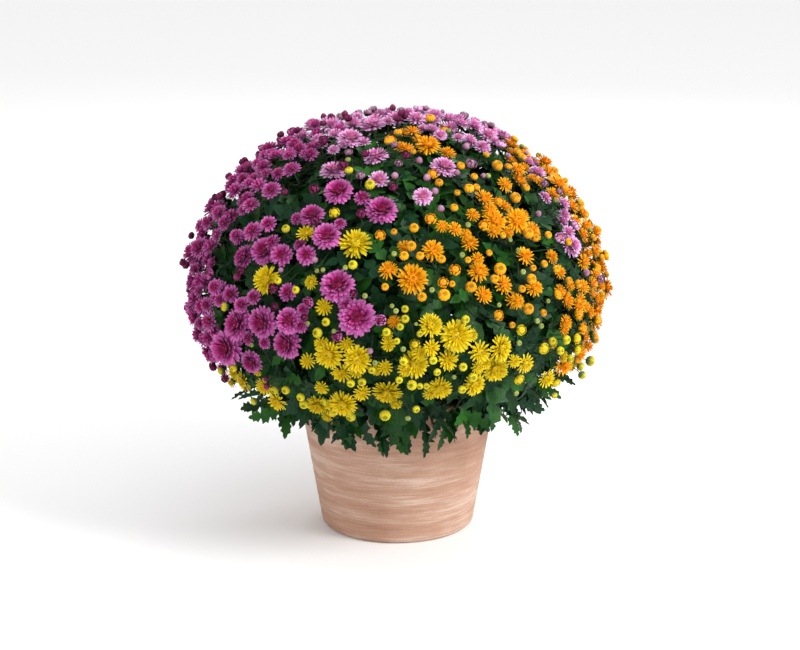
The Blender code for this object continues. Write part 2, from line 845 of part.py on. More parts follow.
def stalk_rings(bm, head):
    """The flower stalk's rings from the head's foot down to the branching, each of three points."""
    route = [head.foot] + head.stalk[-2::-1]
    axis = head.facing
    first = axis.orthogonal().normalized()
    first.rotate(Quaternion(axis, 2.0 * math.pi * head.spin))
    rings = []
    for index, point in enumerate(route):
        if index:
            along = (route[index - 1] - point).normalized()
            first.rotate(axis.rotation_difference(along))
            axis = along
        radius = PEDICEL_RADIUS if index < len(route) - 1 else ROOT_RADIUS
        ring = []
        for corner in range(PEDICEL_SIDES):
            spoke = first.copy()
            spoke.rotate(Quaternion(axis, 2.0 * math.pi * (corner + 0.5) / PEDICEL_SIDES))
            ring.append(bm.verts.new(point + spoke * radius))
        rings.append(ring)
    return rings


def rim_verts(bm, head, reaches, rises, shift=0.0):
    """A ring of points round the head, in step with its stalk's corners."""
    axis = head.facing
    first = axis.orthogonal().normalized()
    first.rotate(Quaternion(axis, 2.0 * math.pi * head.spin))
    verts = []
    for index, (reach, rise) in enumerate(zip(reaches, rises)):
        spoke = first.copy()
        spoke.rotate(Quaternion(axis, 2.0 * math.pi * (index + shift) / len(reaches)))
        verts.append(bm.verts.new(head.middle + (spoke * reach + axis * rise) * head.radius))
    return verts


def join_to_stalk(bm, rim, rings):
    """The underside of a head, from its rim to the stalk, and the stalk down to its root."""
    count = len(rim)
    ring = rings[0]
    owners = [int(PEDICEL_SIDES * (index + 0.5) / count) % PEDICEL_SIDES for index in range(count)]
    for index in range(count):
        owner, before = owners[index], owners[index - 1]
        bm.faces.new((rim[index], rim[(index + 1) % count], ring[owner]))
        if owner != before:
            bm.faces.new((rim[index], ring[owner], ring[before]))
    for upper, lower in zip(rings, rings[1:]):
        for corner in range(PEDICEL_SIDES):
            other = (corner + 1) % PEDICEL_SIDES
            bm.faces.new((upper[corner], upper[other], lower[other], lower[corner]))
    bm.faces.new(rings[-1])


def bloom_mesh(head):
    """An open flower on its stalk: a star of outer petals with inner petals standing in its gaps."""
    domed = head.variety in (Variety.MAGENTA, Variety.PINK)
    gap_reach, inner_reach = (0.66, 0.70) if domed else (0.56, 0.62)
    tip_rise, inner_rise, middle_rise = (0.02, 0.30, 0.44) if domed else (0.10, 0.26, 0.16)
    petals = BLOOM_PETALS + 1 if head.radius > LARGE_BLOOM else BLOOM_PETALS
    bm = bmesh.new()
    outer = rim_verts(bm, head, [1.0, gap_reach] * petals, [tip_rise, -0.02] * petals)
    inner = rim_verts(bm, head, [inner_reach] * petals, [inner_rise] * petals, 0.5)
    middle = bm.verts.new(head.middle + head.facing * head.radius * middle_rise)
    for petal in range(petals):
        tip, gap = outer[2 * petal], outer[2 * petal + 1]
        next_tip = outer[(2 * petal + 2) % len(outer)]
        lobe, last_lobe = inner[petal], inner[petal - 1]
        bm.faces.new((tip, gap, lobe))
        bm.faces.new((gap, next_tip, lobe))
        bm.faces.new((tip, lobe, last_lobe))
        bm.faces.new((last_lobe, lobe, middle))
    join_to_stalk(bm, outer, stalk_rings(bm, head))
    return bm


def button_mesh(head):
    """A half-open head on its stalk: a small six-sided tuft."""
    bm = bmesh.new()
    rim = rim_verts(bm, head, [1.0] * 6, [0.15] * 6)
    top = bm.verts.new(head.middle + head.facing * head.radius * 0.85)
    for index in range(6):
        bm.faces.new((rim[index], rim[(index + 1) % 6], top))
    join_to_stalk(bm, rim, stalk_rings(bm, head))
    return bm


def head_mesh(head):
    """A flower head with its stalk as one closed mesh."""
    return bloom_mesh(head) if head.stage is Stage.BLOOM else button_mesh(head)


def build_flowers(spray):
    """One spray's flower heads on their branching stalks, in one piece."""
    name = f"flowers_{spray.variety.value}_{spray.number:02d}"
    way = (spray.crown - spray.path[-1]).normalized()
    foot = spray.path[-1] + way * SEAT_GAP
    stalk = swept([foot, spray.crown], [STALK_RADIUS, STALK_RADIUS * 0.8], STALK_SIDES, way)
    thing = make_object(name, stalk, spray.variety.value)
    fuse(thing, [head_mesh(head) for head in spray.heads], "heads")
    tidy_union(thing)
    return thing


def build_stem(spray):
    """A leafy stem's bare part: the stem with the twiggy mass that its leaves grow out of."""
    name = f"leafy_stem_{spray.number:02d}"
    way = (spray.crown - spray.path[-1]).normalized()
    return make_object(name, swept(spray.path, spray.girth, STEM_SIDES, UP, way), "foliage")


def crosses(tree, others):
    """Whether a mesh touches any of the other nodes."""
    return any(tree.overlap(other) for other in others)


def too_near(leaf, others):
    """Whether a leaf's outline comes within the touching gap of another node."""
    for share, across in ((1.0, 0.0), (0.68, 0.27), (0.68, -0.27), (0.42, 0.2), (0.42, -0.2), (0.85, 0.0)):
        point = leaf.at(share, across, 0.0)
        for tree in others:
            if tree.find_nearest(point, 2.0 * TOUCH_GAP)[0] is not None:
                return True
    return False


def grow_leaves(spray, trees):
    """The leaves of one spray, each at the first of its draws that is clear of the other nodes."""
    own = f"leafy_stem_{spray.number:02d}"
    others = [tree for name, group in trees.items() if name != own for tree in group]
    others += trees[own][1:]
    hanging, standing = leaf_counts(spray)
    leaves = []
    for number in range(hanging + standing):
        for attempt in range(LEAF_TRIES):
            leaf = leaf_draw(spray, number, number < hanging, attempt)
            if not leaf_in_bounds(leaf) or too_near(leaf, others):
                continue
            bm = leaf_mesh(leaf)
            tree = tree_of(bm)
            bm.free()
            if crosses(tree, others):
                continue
            leaves.append(leaf)
            trees[own].append(tree)
            others.append(tree)
            break
    return leaves


def build_plant(sprays):
    """All leafy stems and flower sprays, with no two nodes touching."""
    trees = {}
    for name in ("pot", "soil"):
        trees[name] = [mesh_tree(bpy.data.objects[name])]
    stems = {}
    for spray in sprays:
        flowers = build_flowers(spray)
        trees[flowers.name] = [mesh_tree(flowers)]
        stem = build_stem(spray)
        trees[stem.name] = [mesh_tree(stem)]
        stems[spray.number] = stem
    for spray in sprays:
        leaves = grow_leaves(spray, trees)
        stem = stems[spray.number]
        fuse(stem, [leaf_mesh(leaf) for leaf in leaves], "leaves")
        tidy_union(stem)


def main():
    """Build the pot, its soil and the flowering plants."""
    clear_scene()
    sprays = plant_layout()
    build_pot()
    build_soil(sprays)
    build_plant(sprays)


if __name__ == "__main__":
    main()
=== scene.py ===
"""Pot chrysanthemum: the looks of four small-flowered plants that grow together in one clay pot.

Lengths are metres, +Z is up and the origin is on the pot's axis at the surface it stands on.
The flower heads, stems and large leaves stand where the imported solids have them.
"""
import json
import logging
import math
import random
from dataclasses import dataclass, field, replace
from enum import Enum, IntEnum
from itertools import combinations
from typing import Optional, Sequence

import bmesh
import bpy
from bmesh.types import BMEdge, BMesh, BMFace, BMVert
from bpy.types import Material, Mesh, NodeSocket, Object
from mathutils import Matrix, Quaternion, Vector
from mathutils.kdtree import KDTree

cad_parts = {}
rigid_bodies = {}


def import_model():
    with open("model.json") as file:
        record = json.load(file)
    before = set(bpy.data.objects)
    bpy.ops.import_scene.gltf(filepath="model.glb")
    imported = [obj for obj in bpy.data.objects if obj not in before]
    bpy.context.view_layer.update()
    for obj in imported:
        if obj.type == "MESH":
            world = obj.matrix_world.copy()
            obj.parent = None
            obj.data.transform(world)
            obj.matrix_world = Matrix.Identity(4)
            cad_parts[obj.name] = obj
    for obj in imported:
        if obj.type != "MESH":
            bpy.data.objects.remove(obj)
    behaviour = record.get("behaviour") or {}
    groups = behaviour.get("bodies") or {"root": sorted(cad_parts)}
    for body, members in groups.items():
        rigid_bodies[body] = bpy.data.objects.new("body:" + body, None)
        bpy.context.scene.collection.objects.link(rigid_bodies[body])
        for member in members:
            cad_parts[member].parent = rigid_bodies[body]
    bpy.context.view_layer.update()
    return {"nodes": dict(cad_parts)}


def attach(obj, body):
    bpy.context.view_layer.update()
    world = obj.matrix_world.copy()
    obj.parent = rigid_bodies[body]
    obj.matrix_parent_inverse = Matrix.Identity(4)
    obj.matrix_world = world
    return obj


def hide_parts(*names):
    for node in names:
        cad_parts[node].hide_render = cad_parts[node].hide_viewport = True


LOG = logging.getLogger("pot_chrysanthemum")
UP = Vector((0.0, 0.0, 1.0))
GOLDEN_TURN = math.radians(137.5)
BODY = "root"
TINY = 1e-12
MERGED = 1e-6
# How far behind its middle a head meets its stalk, and half its height, as shares of its radius
STALK_ENTRY = 0.22
HEAD_BELOW = 0.45
HEAD_ABOVE = 0.55
# How wide and tall a half-open bud is drawn
HALF_OPEN_SHAPE = (0.90, 1.30)


class Variety(Enum):
    """The four plants in the pot, by the colour of their flowers."""

    MAGENTA = "magenta"
    PINK = "pink"
    YELLOW = "yellow"
    ORANGE = "orange"


class Stage(Enum):
    """How far a flower head has opened."""

    BLOOM = "bloom"
    BUTTON = "button"


class FlowerPart(IntEnum):
    """The parts of a piece with flowers, in the order of their finishes."""

    PETAL = 0
    EYE = 1
    BUD = 2
    YOUNG_BUD = 3


# Open blooms that the photograph shows: column, row and width in its pixels
SEEN_BLOOMS = {
    Variety.MAGENTA: (
        (337, 188, 28), (381, 205, 30), (308, 210, 25), (326, 235, 27), (271, 190, 20), (257, 184, 18),
        (250, 204, 18), (290, 167, 19), (295, 141, 17), (308, 148, 16), (260, 163, 18), (273, 166, 15),
        (289, 155, 14), (224, 214, 22), (239, 196, 16), (250, 231, 21), (257, 246, 29), (238, 253, 25),
        (273, 251, 22), (267, 223, 17), (197, 247, 22), (230, 233, 16), (195, 281, 20), (210, 294, 25),
        (224, 294, 18), (331, 292, 34), (240, 306, 17), (358, 318, 36), (260, 323, 31), (233, 324, 32),
        (287, 324, 26), (282, 343, 31), (224, 349, 34), (250, 363, 23), (192, 318, 21), (207, 322, 20),
        (303, 253, 20), (283, 292, 19), (315, 124, 15), (278, 148, 14),
    ),
    Variety.PINK: (
        (372, 121, 24), (349, 137, 26), (375, 148, 25), (331, 164, 26), (317, 136, 16), (380, 109, 17),
        (378, 174, 21), (444, 165, 26), (440, 128, 18), (461, 123, 19), (472, 134, 15), (486, 141, 18),
        (423, 196, 20), (540, 169, 18), (550, 193, 15), (564, 203, 16), (570, 217, 15), (581, 242, 24),
        (336, 134, 16),
    ),
    Variety.YELLOW: (
        (353, 239, 31), (304, 232, 20), (262, 279, 28), (333, 356, 30), (352, 360, 28), (339, 375, 22),
        (342, 406, 28), (361, 398, 18), (386, 402, 30), (314, 415, 23), (275, 404, 22), (262, 390, 20),
        (230, 384, 17), (416, 368, 29), (452, 339, 32), (437, 329, 24), (451, 359, 22), (441, 393, 23),
        (482, 353, 23), (503, 351, 27), (501, 375, 27), (476, 387, 23), (526, 364, 20), (388, 346, 15),
        (384, 372, 16), (326, 300, 17), (304, 365, 16), (320, 391, 15), (310, 282, 15),
    ),
    Variety.ORANGE: (
        (413, 127, 18), (412, 141, 18), (427, 141, 24), (447, 146, 18), (525, 173, 21), (506, 183, 17),
        (486, 199, 22), (501, 219, 25), (516, 220, 25), (533, 225, 19), (455, 229, 16), (530, 254, 20),
        (473, 240, 18), (434, 248, 22), (388, 268, 20), (413, 278, 31), (483, 269, 22), (509, 284, 21),
        (486, 295, 19), (519, 300, 18), (539, 287, 18), (566, 271, 15), (558, 255, 15), (574, 300, 21),
        (570, 323, 17), (594, 253, 15), (390, 322, 14), (405, 243, 15),
    ),
}
# Blooms that press in between those, in the same way
CROWDED_BLOOMS = {
    Variety.MAGENTA: (
        (275, 154, 18), (292, 140, 17), (255, 160, 15), (231, 187, 19), (246, 181, 14), (243, 194, 15),
        (216, 211, 18), (222, 221, 17), (214, 233, 14), (231, 233, 15), (309, 140, 17), (293, 215, 13),
        (192, 280, 20), (213, 287, 17), (252, 297, 16), (301, 310, 14), (296, 242, 14), (339, 222, 13),
        (361, 193, 17), (196, 291, 14), (250, 174, 14), (286, 148, 15), (263, 170, 14), (240, 207, 14),
        (205, 262, 15), (217, 300, 15), (245, 340, 15), (262, 344, 13), (300, 326, 15), (345, 305, 16),
        (303, 148, 14), (268, 240, 17), (209, 333, 14), (201, 305, 15),
    ),
    Variety.PINK: (
        (316, 133, 17), (333, 148, 13), (354, 107, 15), (363, 114, 12), (433, 126, 17), (424, 122, 13),
        (441, 131, 14), (485, 141, 17), (579, 243, 17), (362, 136, 16), (388, 119, 13), (473, 136, 15),
        (452, 122, 15), (460, 132, 13), (496, 139, 14), (573, 230, 15), (569, 212, 14), (530, 160, 13),
        (345, 142, 15),
    ),
    Variety.YELLOW: (
        (432, 349, 18), (474, 337, 14), (320, 344, 14), (376, 374, 11), (387, 337, 11), (560, 346, 12),
        (566, 358, 13), (590, 360, 13), (581, 374, 11), (253, 375, 12), (218, 371, 11), (479, 369, 14),
        (345, 347, 16), (420, 356, 16), (356, 372, 16), (405, 372, 15), (463, 348, 14), (515, 362, 14),
        (488, 366, 15), (331, 407, 15), (396, 409, 13), (430, 398, 13), (326, 419, 13),
    ),
    Variety.ORANGE: (
        (515, 154, 15), (520, 166, 18), (535, 176, 13), (506, 205, 16), (475, 212, 15), (443, 225, 14),
        (587, 286, 16), (585, 300, 15), (598, 293, 13), (595, 251, 14), (557, 254, 13), (601, 321, 16),
        (586, 315, 14), (596, 339, 13), (590, 307, 12), (590, 329, 13), (519, 301, 16), (479, 258, 14),
        (527, 163, 13), (573, 285, 12), (492, 209, 17), (510, 230, 14), (524, 213, 17), (539, 233, 13),
        (421, 134, 17), (400, 140, 14), (404, 126, 13), (543, 179, 14), (468, 232, 13), (495, 230, 14),
        (580, 306, 16), (567, 290, 14), (566, 330, 14),
    ),
}
# Half-open heads that the photograph shows, in the same way
SEEN_BUTTONS = {
    Variety.MAGENTA: ((306, 303, 13), (335, 341, 13), (383, 321, 13), (204, 274, 12), (184, 308, 12)),
    Variety.PINK: ((418, 108, 12), (501, 145, 12), (354, 108, 12), (580, 223, 12), (559, 239, 12)),
    Variety.YELLOW: (
        (546, 350, 13), (577, 339, 12), (582, 353, 12), (563, 389, 12), (521, 382, 12), (331, 415, 12),
        (416, 348, 12), (525, 332, 12), (334, 212, 12),
    ),
    Variety.ORANGE: (
        (390, 135, 13), (433, 173, 12), (431, 218, 13), (443, 283, 12), (560, 295, 12), (586, 316, 14),
        (600, 321, 12), (589, 331, 13), (604, 267, 12), (498, 316, 12), (456, 270, 13), (379, 233, 12),
        (486, 225, 12), (500, 200, 12), (447, 122, 12),
    ),
}
# The small closed buds between them, in the same way
SEEN_BUDS = {
    Variety.MAGENTA: (
        (276, 307, 9), (301, 312, 9), (353, 294, 10), (228, 377, 11), (242, 271, 10), (237, 277, 8),
        (188, 291, 4), (185, 262, 9), (188, 269, 10), (406, 157, 10), (394, 189, 11), (403, 114, 8),
        (411, 117, 13), (393, 108, 7), (267, 386, 7), (266, 379, 6), (263, 149, 9), (234, 174, 9),
        (248, 166, 5), (221, 198, 10), (210, 219, 5), (196, 230, 9), (327, 116, 7), (336, 118, 9),
        (345, 114, 7), (326, 124, 9), (298, 132, 9), (287, 134, 9), (279, 140, 6), (286, 194, 9),
        (324, 143, 12), (337, 166, 13), (366, 156, 10), (361, 216, 12), (314, 224, 12), (276, 290, 12),
        (345, 122, 10), (398, 121, 9), (315, 191, 12),
    ),
    Variety.PINK: (
        (491, 128, 10), (466, 147, 8), (395, 147, 9), (398, 165, 10), (395, 176, 8), (427, 178, 8),
        (419, 161, 8), (457, 173, 7), (428, 194, 8), (441, 209, 8), (483, 176, 6), (543, 185, 10),
        (560, 194, 9), (538, 214, 7), (586, 273, 8), (430, 109, 6), (443, 112, 5), (526, 153, 5),
        (315, 260, 7), (281, 270, 6), (370, 351, 7), (508, 156, 6), (600, 276, 10), (361, 178, 11),
        (470, 167, 14), (349, 155, 10),
    ),
    Variety.YELLOW: (
        (286, 229, 9), (349, 171, 9), (370, 185, 11), (278, 281, 8), (296, 290, 8), (353, 265, 10),
        (225, 307, 9), (348, 160, 6), (326, 322, 9), (321, 343, 11), (351, 383, 9), (362, 382, 9),
        (301, 397, 9), (325, 402, 7), (351, 416, 11), (304, 404, 10), (254, 401, 8), (221, 371, 8),
        (275, 390, 9), (286, 390, 9), (234, 368, 8), (405, 309, 8), (405, 319, 9), (399, 326, 8),
        (416, 324, 4), (396, 311, 6), (392, 306, 5), (387, 337, 9), (397, 341, 7), (405, 362, 9),
        (403, 349, 6), (433, 359, 9), (463, 367, 9), (424, 331, 7), (465, 320, 9), (479, 369, 10),
        (412, 385, 11), (399, 380, 8), (420, 386, 7), (426, 386, 7), (437, 372, 8), (416, 409, 8),
        (385, 415, 12), (408, 418, 6), (454, 377, 5), (470, 388, 9), (516, 393, 6), (519, 343, 6),
        (552, 341, 8), (537, 321, 6), (541, 326, 6), (554, 395, 7), (367, 367, 8), (375, 363, 6),
        (317, 271, 5), (323, 270, 5), (342, 274, 6), (365, 296, 6), (306, 324, 5), (334, 331, 5),
        (252, 345, 5), (560, 347, 9), (590, 361, 11), (567, 359, 9), (580, 367, 9), (582, 375, 9),
        (566, 336, 10),
    ),
    Variety.ORANGE: (
        (430, 118, 10), (448, 131, 6), (398, 133, 9), (388, 142, 8), (486, 155, 7), (508, 167, 8),
        (459, 166, 9), (527, 163, 9), (516, 153, 9), (413, 152, 7), (474, 177, 8), (488, 176, 6),
        (439, 183, 9), (457, 193, 7), (469, 189, 11), (479, 191, 8), (454, 208, 9), (526, 188, 8),
        (527, 232, 12), (535, 238, 8), (414, 228, 10), (394, 232, 7), (502, 235, 7), (510, 240, 5),
        (468, 225, 6), (548, 235, 8), (568, 242, 8), (404, 256, 10), (411, 246, 11), (420, 256, 9),
        (440, 257, 9), (394, 254, 6), (385, 287, 8), (422, 297, 10), (452, 284, 7), (432, 290, 6),
        (468, 260, 7), (462, 255, 6), (494, 279, 9), (489, 253, 7), (518, 250, 5), (523, 272, 6),
        (522, 289, 8), (544, 264, 8), (533, 268, 7), (556, 269, 8), (569, 281, 8), (578, 284, 9),
        (543, 313, 8), (548, 301, 5), (499, 305, 5), (512, 325, 7), (591, 235, 8), (590, 227, 5),
        (597, 230, 10), (595, 339, 10), (528, 309, 12), (531, 279, 11), (497, 166, 12), (500, 269, 13),
        (471, 287, 12), (444, 295, 13), (515, 198, 12),
    ),
}
# Tips of the leaves that hang over the pot's rim: column and row in the photograph's pixels
SKIRT_TIPS = (
    (232, 400), (239, 398), (264, 412), (278, 424), (286, 423), (295, 423), (318, 436), (332, 444),
    (347, 449), (356, 449), (380, 455), (390, 455), (410, 453), (425, 457), (432, 442), (450, 443),
    (456, 442), (468, 438), (481, 435), (489, 431), (507, 423), (520, 422), (528, 404), (541, 398),
    (560, 396), (576, 382), (372, 447), (401, 447), (441, 450), (309, 430),
)
# Where each plant leans to from the pot, for the heads that the photograph hides
HOME = {
    Variety.MAGENTA: Vector((-0.85, 0.25, 0.15)).normalized(),
    Variety.PINK: Vector((0.05, 0.80, 0.50)).normalized(),
    Variety.YELLOW: Vector((0.15, -0.55, -0.75)).normalized(),
    Variety.ORANGE: Vector((0.90, 0.05, 0.10)).normalized(),
}
BLOOM_RADII = {
    Variety.MAGENTA: (0.0140, 0.0185),
    Variety.PINK: (0.0120, 0.0160),
    Variety.YELLOW: (0.0125, 0.0165),
    Variety.ORANGE: (0.0110, 0.0155),
}
BUTTON_RADII = (0.0055, 0.0075)


@dataclass(frozen=True)
class View:
    """Where the photograph was taken from, and its frame in pixels."""

    distance: float = 2.5
    elevation: float = math.radians(14.7)
    aim: tuple[float, float, float] = (0.003, 0.0, 0.245)
    focal_pixels: float = 2083.0
    middle_column: float = 400.0
    middle_row: float = 325.0
    frame_width: float = 800.0
    sensor: float = 36.0
    sight_start: float = 0.30
    sight_step: float = 0.0004
    sight_steps: int = 1500

    @property
    def back(self) -> Vector:
        """The direction from the plant to the eye."""
        return Vector((0.0, -math.cos(self.elevation), math.sin(self.elevation)))

    @property
    def eye(self) -> Vector:
        """The eye point."""
        return Vector(self.aim) + self.back * self.distance

    def ray(self, column: float, row: float) -> Vector:
        """The direction of the sight line through a pixel.

        Args:
            column: The pixel's column from the left.
            row: The pixel's row from the top.

        Returns:
            A unit vector.
        """
        up = Vector((0.0, math.sin(self.elevation), math.cos(self.elevation)))
        across = (column - self.middle_column) / self.focal_pixels
        rise = (self.middle_row - row) / self.focal_pixels
        return (Vector((across, 0.0, 0.0)) + up * rise - self.back).normalized()

    def make_camera(self) -> Object:
        """Make the scene's camera at the eye point.

        Returns:
            The camera.
        """
        data = bpy.data.cameras.new("camera")
        data.sensor_width = self.sensor
        data.lens = self.focal_pixels * self.sensor / self.frame_width
        camera = shown("camera", data)
        camera.location = self.eye
        camera.rotation_euler = (-self.back).to_track_quat("-Z", "Y").to_euler()
        bpy.context.scene.camera = camera
        return camera


@dataclass(frozen=True)
class Outline:
    """The outline that the flower heads stand on: a ball flattened above and more so below."""

    middle: float = 0.292
    radius: float = 0.250
    rise: float = 0.212
    drop: float = 0.180

    def half_height(self, level: float) -> float:
        """Half the outline's height, above or below its middle."""
        return self.rise if level >= 0 else self.drop

    def to_ball(self, point: Vector) -> Vector:
        """The point with the outline shrunk to a unit ball about the origin."""
        level = point.z - self.middle
        return Vector((point.x / self.radius, point.y / self.radius, level / self.half_height(level)))

    def from_ball(self, ball: Vector) -> Vector:
        """The place in the plant of a point of the unit ball."""
        height = self.middle + ball.z * self.half_height(ball.z)
        return Vector((ball.x * self.radius, ball.y * self.radius, height))

    def outward(self, ball: Vector) -> Vector:
        """The outline's normal at a direction of the unit ball."""
        height = self.half_height(ball.z)
        return Vector((ball.x / self.radius, ball.y / self.radius, ball.z / height)).normalized()


VIEW = View()
OUTLINE = Outline()


def shown(name: str, data: bpy.types.ID) -> Object:
    """Show some data in the scene.

    Args:
        name: The new object's name.
        data: A mesh, light or camera.

    Returns:
        The object.
    """
    made = bpy.data.objects.new(name, data)
    bpy.context.scene.collection.objects.link(made)
    return made


def point_seen(column: float, row: float) -> Vector:
    """Where a pixel's sight line meets the plant's outline, or passes nearest to it.

    Args:
        column: The pixel's column from the left.
        row: The pixel's row from the top.

    Returns:
        The point, with the outline shrunk to a unit ball.
    """
    line = VIEW.ray(column, row)
    nearest: Optional[Vector] = None
    for step in range(VIEW.sight_steps):
        reach = VIEW.distance - VIEW.sight_start + VIEW.sight_step * step
        ball = OUTLINE.to_ball(VIEW.eye + line * reach)
        if ball.length <= 1.0:
            return ball
        if nearest is None or ball.length < nearest.length:
            nearest = ball
    return nearest


def ball_seen(column: float, row: float) -> Vector:
    """The direction of the unit ball that a pixel shows."""
    return point_seen(column, row).normalized()


def ball_at(level: float, turn: float) -> Vector:
    """The direction at a level of the unit ball and an angle round it."""
    flat = math.sqrt(1.0 - level * level)
    return Vector((flat * math.cos(turn), flat * math.sin(turn), level))


def scattered(rng: random.Random, reach: float) -> Vector:
    """A random offset of up to a reach on each axis."""
    return Vector((rng.uniform(-1, 1), rng.uniform(-1, 1), rng.uniform(-1, 1))) * reach


def squared_to(face: Vector, along: Vector) -> Vector:
    """A direction turned square to another."""
    return (face - along * face.dot(along)).normalized()


def clearance(place: Vector, placed: Sequence[tuple[Vector, float]]) -> float:
    """The gap from a place to the nearest of some round things, each a middle and a radius."""
    return min((place - middle).length - radius for middle, radius in placed)


def tree_of(points: Sequence[Vector]) -> KDTree:
    """A search tree of points.

    Args:
        points: The points.

    Returns:
        The tree, ready to search.
    """
    tree = KDTree(len(points))
    for index, point in enumerate(points):
        tree.insert(point, index)
    tree.balance()
    return tree


def pixel_size(place: Vector) -> float:
    """The size in metres of one of the photograph's pixels at a place."""
    return (place - VIEW.eye).length / VIEW.focal_pixels


def polar_angle(ball: Vector) -> float:
    """The angle of a direction from straight up, in radians."""
    return math.acos(max(-1.0, min(1.0, ball.normalized().z)))


@dataclass
class Head:
    """One flower head: its kind, its place on the outline and the stalk that carries it."""

    variety: Variety
    stage: Stage
    ball: Vector
    radius: float
    sink: float
    lean: Vector
    spin: float
    spray: int = -1
    stalk: list[Vector] = field(default_factory=list)

    @property
    def middle(self) -> Vector:
        """The middle of the head."""
        return OUTLINE.from_ball(self.ball) - OUTLINE.outward(self.ball) * self.sink

    @property
    def facing(self) -> Vector:
        """The way the flower looks: out of the bush and a little up."""
        return (OUTLINE.outward(self.ball) + self.lean).normalized()

    @property
    def foot(self) -> Vector:
        """Where the stalk enters the head."""
        return self.middle - self.facing * self.radius * STALK_ENTRY

    def place(self, share: float = 1.0) -> Matrix:
        """The matrix that puts a flower of unit radius here.

        Args:
            share: Its size as a share of the head's.

        Returns:
            The placing matrix.
        """
        turn = self.facing.to_track_quat("Z", "Y").to_matrix().to_4x4()
        spin = Matrix.Rotation(2.0 * math.pi * self.spin, 4, "Z")
        return Matrix.Translation(self.middle) @ turn @ spin @ Matrix.Scale(self.radius * share, 4)


@dataclass
class Spray:
    """One leafy stem with its flower heads, all of one plant."""

    variety: Variety
    number: int
    hub: Vector
    heads: list[Head]
    path: list[Vector] = field(default_factory=list)
    girth: list[float] = field(default_factory=list)
    crown_depth: float = 0.90

    @property
    def crown(self) -> Vector:
        """The top of the spray's middle stalk."""
        return OUTLINE.from_ball(self.hub * self.crown_depth)

    @property
    def flower_node(self) -> str:
        """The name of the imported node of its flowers."""
        return f"flowers_{self.variety.value}_{self.number:02d}"

    @property
    def stem_node(self) -> str:
        """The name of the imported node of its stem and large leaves."""
        return f"leafy_stem_{self.number:02d}"

    def along_stem(self, spot: float) -> tuple[Vector, Vector, float]:
        """A point of the stem.

        Args:
            spot: The index along the path, with its fraction.

        Returns:
            The point, the stem's direction there and how thick its leafy mass is.
        """
        index = min(int(spot), len(self.path) - 2)
        share = spot - index
        low, high = self.path[index], self.path[index + 1]
        thick = self.girth[index] + (self.girth[index + 1] - self.girth[index]) * share
        return low.lerp(high, share), (high - low).normalized(), thick


def segment_gap(a: Vector, b: Vector, c: Vector, d: Vector) -> float:
    """The distance between two segments.

    Args:
        a: The start of the first segment.
        b: Its end.
        c: The start of the second segment.
        d: Its end.

    Returns:
        The distance in metres.
    """
    first, second, apart = b - a, d - c, a - c
    aa, bb, ab = first.dot(first), second.dot(second), first.dot(second)
    af, bf = first.dot(apart), second.dot(apart)
    spread_out = aa * bb - ab * ab
    s = min(1.0, max(0.0, (ab * bf - bb * af) / spread_out)) if spread_out > TINY else 0.0
    t = (ab * s + bf) / bb if bb > TINY else 0.0
    if t < 0.0 or t > 1.0:
        t = min(1.0, max(0.0, t))
        s = min(1.0, max(0.0, (ab * t - af) / aa)) if aa > TINY else 0.0
    return (a + first * s - c - second * t).length


